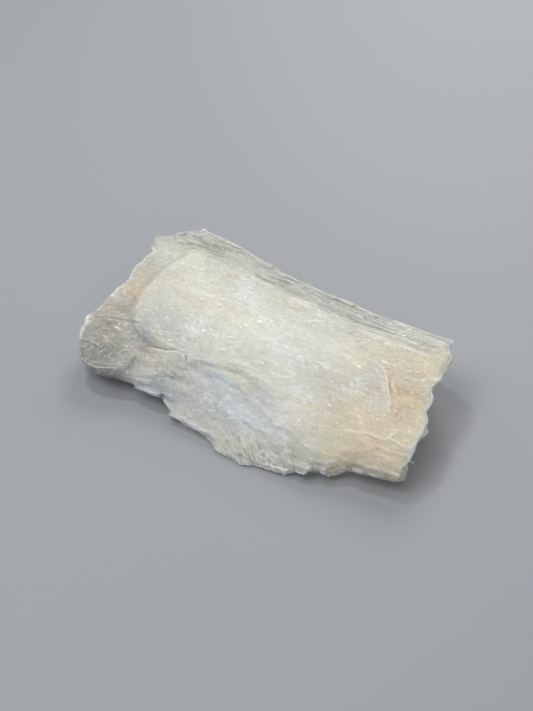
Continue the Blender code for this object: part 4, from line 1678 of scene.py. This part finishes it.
@dataclass(frozen=True)
class MilkyGypsum:
    """The crystal's finish: milky, silky along the grain, frosted white where it is broken."""

    name: str = "milky_gypsum"
    ior: float = 1.52
    scatter: float = 0.005
    scatter_reach: Rgb = (1.0, 0.94, 0.88)
    edge_glow: float = 0.35
    edge_glow_roughness: float = 0.25
    clear_top: float = 0.45
    top_roughness: float = 0.18
    glint_tip: float = 0.7
    frost: Rgb = display(0.99, 0.985, 0.97)
    # White of the rims, partly a painted glow.
    rim_white_and_glow: Rgb = display(1.0, 0.975, 0.935)
    # White of the painted glints on specks and flecks.
    painted_glint_white: Rgb = display(0.99, 1.0, 1.0)
    feather: Rgb = display(0.93, 0.95, 0.975)
    # Grey for real cracks and for the painted shade in creases.
    crack_and_crease_shade_grey: Rgb = display(0.42, 0.42, 0.40)
    comb_gap: Rgb = display(0.60, 0.58, 0.54)
    comb_stroke_and_highlight: Rgb = display(1.0, 0.95, 0.87)
    comb_grain: tuple[float, ...] = (230.0, 1500.0, 3.0, 71.0, 0.6, math.radians(-57.0))
    wisp_grain: tuple[float, ...] = (760.0, 430.0, 4.0, 37.0, 0.65)
    wisp_width: float = 0.014
    glint_fleck_cells: tuple[float, ...] = (1150.0, 560.0, 53.0, 0.25)
    satin_grain: tuple[float, ...] = (330.0, 90.0, 3.0, 8.0)
    satin: Span = (0.26, 0.46)
    striae_grain: tuple[float, ...] = (2600.0, 70.0, 3.0, 2.0)
    tooth_grain: tuple[float, ...] = (2400.0, 1100.0, 4.0, 19.0, 0.6)
    window_grain: tuple[float, ...] = (290.0, 150.0, 5.0, 61.0, 0.65)
    facet_cells: Vec3 = (1300.0, 520.0, 9.0)
    glint_cells: Vec3 = (3400.0, 1900.0, 4.0)
    inner_veils: tuple[Veil, ...] = (
        Veil("veils", (210.0, 90.0, 5.0, 3.0, 0.6), (0.42, 0.60), (0.96, 0.96, 0.94), 0.16),
        Veil("mottle", (620.0, 260.0, 5.0, 11.0, 0.65), (0.46, 0.64), (0.78, 0.77, 0.71), 0.09),
        Veil("pepper", (3200.0, 760.0, 4.0, 47.0, 0.65, 0.30), (0.52, 0.64), (0.63, 0.61, 0.56),
             0.34),
        Veil("light", (2900.0, 640.0, 4.0, 87.0, 0.65, -0.26), (0.52, 0.64), (1.0, 0.99, 0.965),
             0.46),
        Veil("sugar", (3400.0, 1900.0, 3.0, 23.0, 0.6, -0.3), (0.55, 0.60), (0.98, 0.99, 1.0),
             0.6, "feather", 0.16),
    )
    band_veils: tuple[Veil, ...] = (
        Veil("streaks", (2100.0, 60.0, 4.0, 5.0, 0.62), (0.47, 0.63), (0.43, 0.46, 0.47),
             0.72, "band", 0.04),
        Veil("threads", (2300.0, 85.0, 4.0, 95.0, 0.62), (0.54, 0.62), (0.98, 0.98, 0.96),
             0.6, "band"),
    )

    def material(self) -> bpy.types.Material:
        """Build the material.

        Returns:
            A material for the crystal.
        """
        material = bpy.data.materials.new(self.name)
        material.use_nodes = True
        nodes = NodeBuilder(material)
        surface = material.node_tree.nodes["Principled BSDF"]
        settings = {
            "IOR": self.ior,
            "Subsurface Weight": 1.0,
            "Subsurface Radius": self.scatter_reach,
            "Subsurface Scale": self.scatter,
            "Sheen Weight": self.edge_glow,
            "Sheen Roughness": self.edge_glow_roughness,
            "Coat Weight": self.clear_top,
            "Coat Roughness": self.top_roughness,
        }
        for name, value in settings.items():
            surface.inputs[name].default_value = value
        nodes.wire(self.colour(nodes), surface.inputs["Base Color"])
        nodes.wire(self.roughness(nodes), surface.inputs["Roughness"])
        nodes.wire(self.clearness(nodes), surface.inputs["Transmission Weight"])
        nodes.wire(self.bump(nodes), surface.inputs["Normal"])
        nodes.wire(self.glints(nodes), surface.inputs["Coat Normal"])
        return material

    def colour(self, nodes: NodeBuilder) -> Socket:
        """Tint with its painted shade and painted light, veils, feathers, painted glints, streaks,
        the comb's teeth, cracks with painted crease shade, and white edges that are partly a painted
        glow.

        Args:
            nodes: The material's nodes.

        Returns:
            The colour's socket.
        """
        shade = nodes.add("ShaderNodeAttribute", attribute_name="tint").outputs["Color"]
        for veil in self.inner_veils:
            shade = veil.over(nodes, shade)
        shade = nodes.over(shade, nodes.value("feather"), 0.3, self.feather)
        shade = nodes.over(shade, self.wisps(nodes), 1.0, self.frost)
        # Painted glints: crisp white flecks.
        shade = nodes.over(shade, self.glint_flecks(nodes), 1.0, self.painted_glint_white)
        for veil in self.band_veils:
            shade = veil.over(nodes, shade)
        teeth = nodes.grain_noise(*self.comb_grain)
        gaps = nodes.math("MULTIPLY", nodes.ramp(teeth, 0.44, 0.36), nodes.value("comb"))
        shade = nodes.over(shade, gaps, 0.5, self.comb_gap)
        # Bright strokes: the comb's pale fibre tips, brightened further as painted highlights.
        strokes = nodes.math("MULTIPLY", nodes.ramp(teeth, 0.53, 0.58), nodes.value("comb"))
        shade = nodes.over(shade, strokes, 0.9, self.comb_stroke_and_highlight)
        # crack adds painted crease shade, rim is partly painted rim glow, speck is painted glints.
        edges = (("crack", 0.8, self.crack_and_crease_shade_grey), ("nick", 0.28, self.frost),
                 ("rim", 0.8, self.rim_white_and_glow), ("speck", 0.9, self.painted_glint_white))
        for name, strength, colour in edges:
            shade = nodes.over(shade, nodes.value(name), strength, colour)
        return shade

    def wisps(self, nodes: NodeBuilder) -> Socket:
        """Thin curved white threads, where fine feathers inside catch the light.

        Args:
            nodes: The material's nodes.

        Returns:
            A share's socket.
        """
        threads = nodes.grain_noise(*self.wisp_grain)
        off_line = nodes.math("ABSOLUTE", nodes.math("SUBTRACT", threads, 0.5))
        line = nodes.ramp(off_line, 0.0, self.wisp_width, 1.0, 0.0)
        return nodes.math("MULTIPLY", line, nodes.stored("feather", 0.8, 0.12))

    def glint_flecks(self, nodes: NodeBuilder) -> Socket:
        """Crisp white dashes scattered along the grain, most of them where feathers lie: painted
        glints.

        Args:
            nodes: The material's nodes.

        Returns:
            A share's socket.
        """
        cells = nodes.cells(*self.glint_fleck_cells)
        chosen = nodes.ramp(cells.outputs["Color"], 0.46, 0.50)
        spot = nodes.ramp(cells.outputs["Distance"], 0.42, 0.26)
        dashes = nodes.math("MULTIPLY", chosen, spot)
        return nodes.math("MULTIPLY", dashes, nodes.stored("feather", 0.9, 0.05))

    def roughness(self, nodes: NodeBuilder) -> Socket:
        """Satin on cleavage faces, duller where the crystal is broken."""
        patches = nodes.ramp(nodes.grain_noise(*self.satin_grain), 0.35, 0.65, *self.satin)
        return nodes.math("ADD", patches, nodes.stored("nick", 0.12))

    def bump(self, nodes: NodeBuilder) -> Socket:
        """Fine striae along the grain over a fine crystalline tooth.

        Args:
            nodes: The material's nodes.

        Returns:
            The normal's socket.
        """
        striae = nodes.relief(self.striae_grain, 0.25, 0.10)
        tooth = nodes.relief(self.tooth_grain, 0.38, 0.12)
        nodes.wire(striae.outputs[0], tooth.inputs["Normal"])
        broken = nodes.stored("broken", 0.45, 0.10)
        return nodes.tipped(tooth.outputs[0], nodes.facets(*self.facet_cells), broken)

    def clearness(self, nodes: NodeBuilder) -> Socket:
        """How much of the light passes: clear windows in the milk, most of them off the plate.

        Args:
            nodes: The material's nodes.

        Returns:
            A share's socket.
        """
        windows = nodes.ramp(nodes.grain_noise(*self.window_grain), 0.38, 0.64)
        patchy = nodes.math("ADD", nodes.math("MULTIPLY", windows, 0.2), 0.5)
        whole = nodes.math("MULTIPLY", patchy, nodes.value("clear"))
        frosted = nodes.math("MAXIMUM", nodes.value("rim"), nodes.stored("nick", 0.35))
        frosted = nodes.math("MAXIMUM", frosted, self.wisps(nodes))
        return nodes.math("MULTIPLY", whole, nodes.math("SUBTRACT", 1.0, frosted))

    def glints(self, nodes: NodeBuilder) -> Socket:
        """Tiny mirror-like cleavage spots, each tipped its own way, for the clear top layer."""
        normal = nodes.add("ShaderNodeNewGeometry").outputs["Normal"]
        return nodes.tipped(normal, nodes.facets(*self.glint_cells), self.glint_tip)


@dataclass(frozen=True)
class PaleFloor:
    """The plain pale floor's finish."""

    colour: Rgb = (0.37, 0.38, 0.40)
    roughness: float = 0.6

    def material(self) -> bpy.types.Material:
        """Build the floor's material.

        Returns:
            A material for the floor.
        """
        material = bpy.data.materials.new("pale_floor")
        material.use_nodes = True
        surface = material.node_tree.nodes["Principled BSDF"]
        surface.inputs["Base Color"].default_value = (*self.colour, 1.0)
        surface.inputs["Roughness"].default_value = self.roughness
        return material


@dataclass(frozen=True)
class SoftLight:
    """A square soft light that faces the blade, in metres and watts."""

    name: str
    place: Vec3
    size: float
    power: float
    colour: Rgb

    def add(self) -> None:
        """Add the light to the scene."""
        light = bpy.data.lights.new(self.name, "AREA")
        light.shape = "SQUARE"
        light.size = self.size
        light.energy = self.power
        light.color = self.colour
        thing = bpy.data.objects.new(self.name, light)
        thing.location = self.place
        thing.rotation_euler = Vector(self.place).to_track_quat("Z", "Y").to_euler()
        bpy.context.scene.collection.objects.link(thing)


@dataclass(frozen=True)
class Studio:
    """Floor, soft lights and the camera."""

    azimuth: float = math.radians(30.0)
    elevation: float = math.radians(40.0)
    distance: float = 0.30
    view_angle: float = math.radians(28.0)
    clip: Span = (0.01, 50.0)
    aim: Vec3 = (0.00143, -0.00269, 0.009)
    aim_rise: float = 0.00126
    floor_size: float = 60.0
    floor_gap: float = 0.00005
    sky: Rgb = (0.9, 0.94, 1.0)
    sky_strength: float = 0.34
    soft_lights: tuple[SoftLight, ...] = (
        SoftLight("key_soft", (-0.20, -0.30, 0.62), 0.40, 1.8, (1.0, 0.98, 0.945)),
        SoftLight("back_soft", (-0.10, 0.55, 0.40), 0.35, 1.7, (1.0, 0.99, 0.97)),
        SoftLight("front_cool", (0.30, -0.60, 0.20), 0.30, 0.6, (0.86, 0.93, 1.0)),
        SoftLight("small_bright", (-0.25, 0.10, 0.60), 0.07, 0.7, (0.95, 0.975, 1.0)),
    )

    def build(self) -> None:
        """Set up everything that isn't part of the object."""
        self.floor()
        for light in self.soft_lights:
            light.add()
        self.room()
        self.camera()
        bpy.context.scene.view_settings.view_transform = "Standard"

    def floor(self) -> None:
        """Lay a plain floor under the blade, a hair below its flat face."""
        shape = bmesh.new()
        bmesh.ops.create_grid(shape, x_segments=1, y_segments=1, size=self.floor_size / 2.0)
        bmesh.ops.translate(shape, vec=(0.0, 0.0, -self.floor_gap), verts=shape.verts)
        mesh = bpy.data.meshes.new("studio_floor")
        shape.to_mesh(mesh)
        shape.free()
        thing = bpy.data.objects.new("studio_floor", mesh)
        bpy.context.scene.collection.objects.link(thing)
        mesh.materials.append(PaleFloor().material())

    def room(self) -> None:
        """Surround the blade with a weak, even sky."""
        world = bpy.data.worlds.new("soft_room")
        world.use_nodes = True
        background = world.node_tree.nodes["Background"]
        background.inputs["Color"].default_value = (*self.sky, 1.0)
        background.inputs["Strength"].default_value = self.sky_strength
        bpy.context.scene.world = world

    def camera(self) -> None:
        """Place the camera, which looks down on the blade from its front right."""
        back = Vector((math.sin(self.azimuth) * math.cos(self.elevation),
                       -math.cos(self.azimuth) * math.cos(self.elevation),
                       math.sin(self.elevation)))
        right = Vector((math.cos(self.azimuth), math.sin(self.azimuth), 0.0))
        rise = back.cross(right)
        stand = Vector(self.aim) + back * self.distance
        looked_at = Vector(self.aim) + rise * self.aim_rise
        lens = bpy.data.cameras.new("camera")
        lens.sensor_fit = "HORIZONTAL"
        lens.angle = self.view_angle
        lens.clip_start, lens.clip_end = self.clip
        thing = bpy.data.objects.new("camera", lens)
        facing = (stand - looked_at).normalized()
        side = Vector((0.0, 0.0, 1.0)).cross(facing).normalized()
        turned = Matrix((side, facing.cross(side), facing)).transposed().to_4x4()
        turned.translation = stand
        thing.matrix_world = turned
        bpy.context.scene.collection.objects.link(thing)
        bpy.context.scene.camera = thing


def main() -> None:
    """Build the crystal and the studio, then report the piece."""
    logging.basicConfig(level=logging.INFO, format="%(name)s: %(message)s")
    crystal = Crystal().build()
    crystal.data.materials.clear()
    crystal.data.materials.append(MilkyGypsum().material())
    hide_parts(CAD_NODE)
    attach(crystal, "root")
    LOG.info("%s: %d points, %d faces", crystal.name, len(crystal.data.vertices),
             len(crystal.data.polygons))
    Studio().build()


if __name__ == "__main__":
    main()
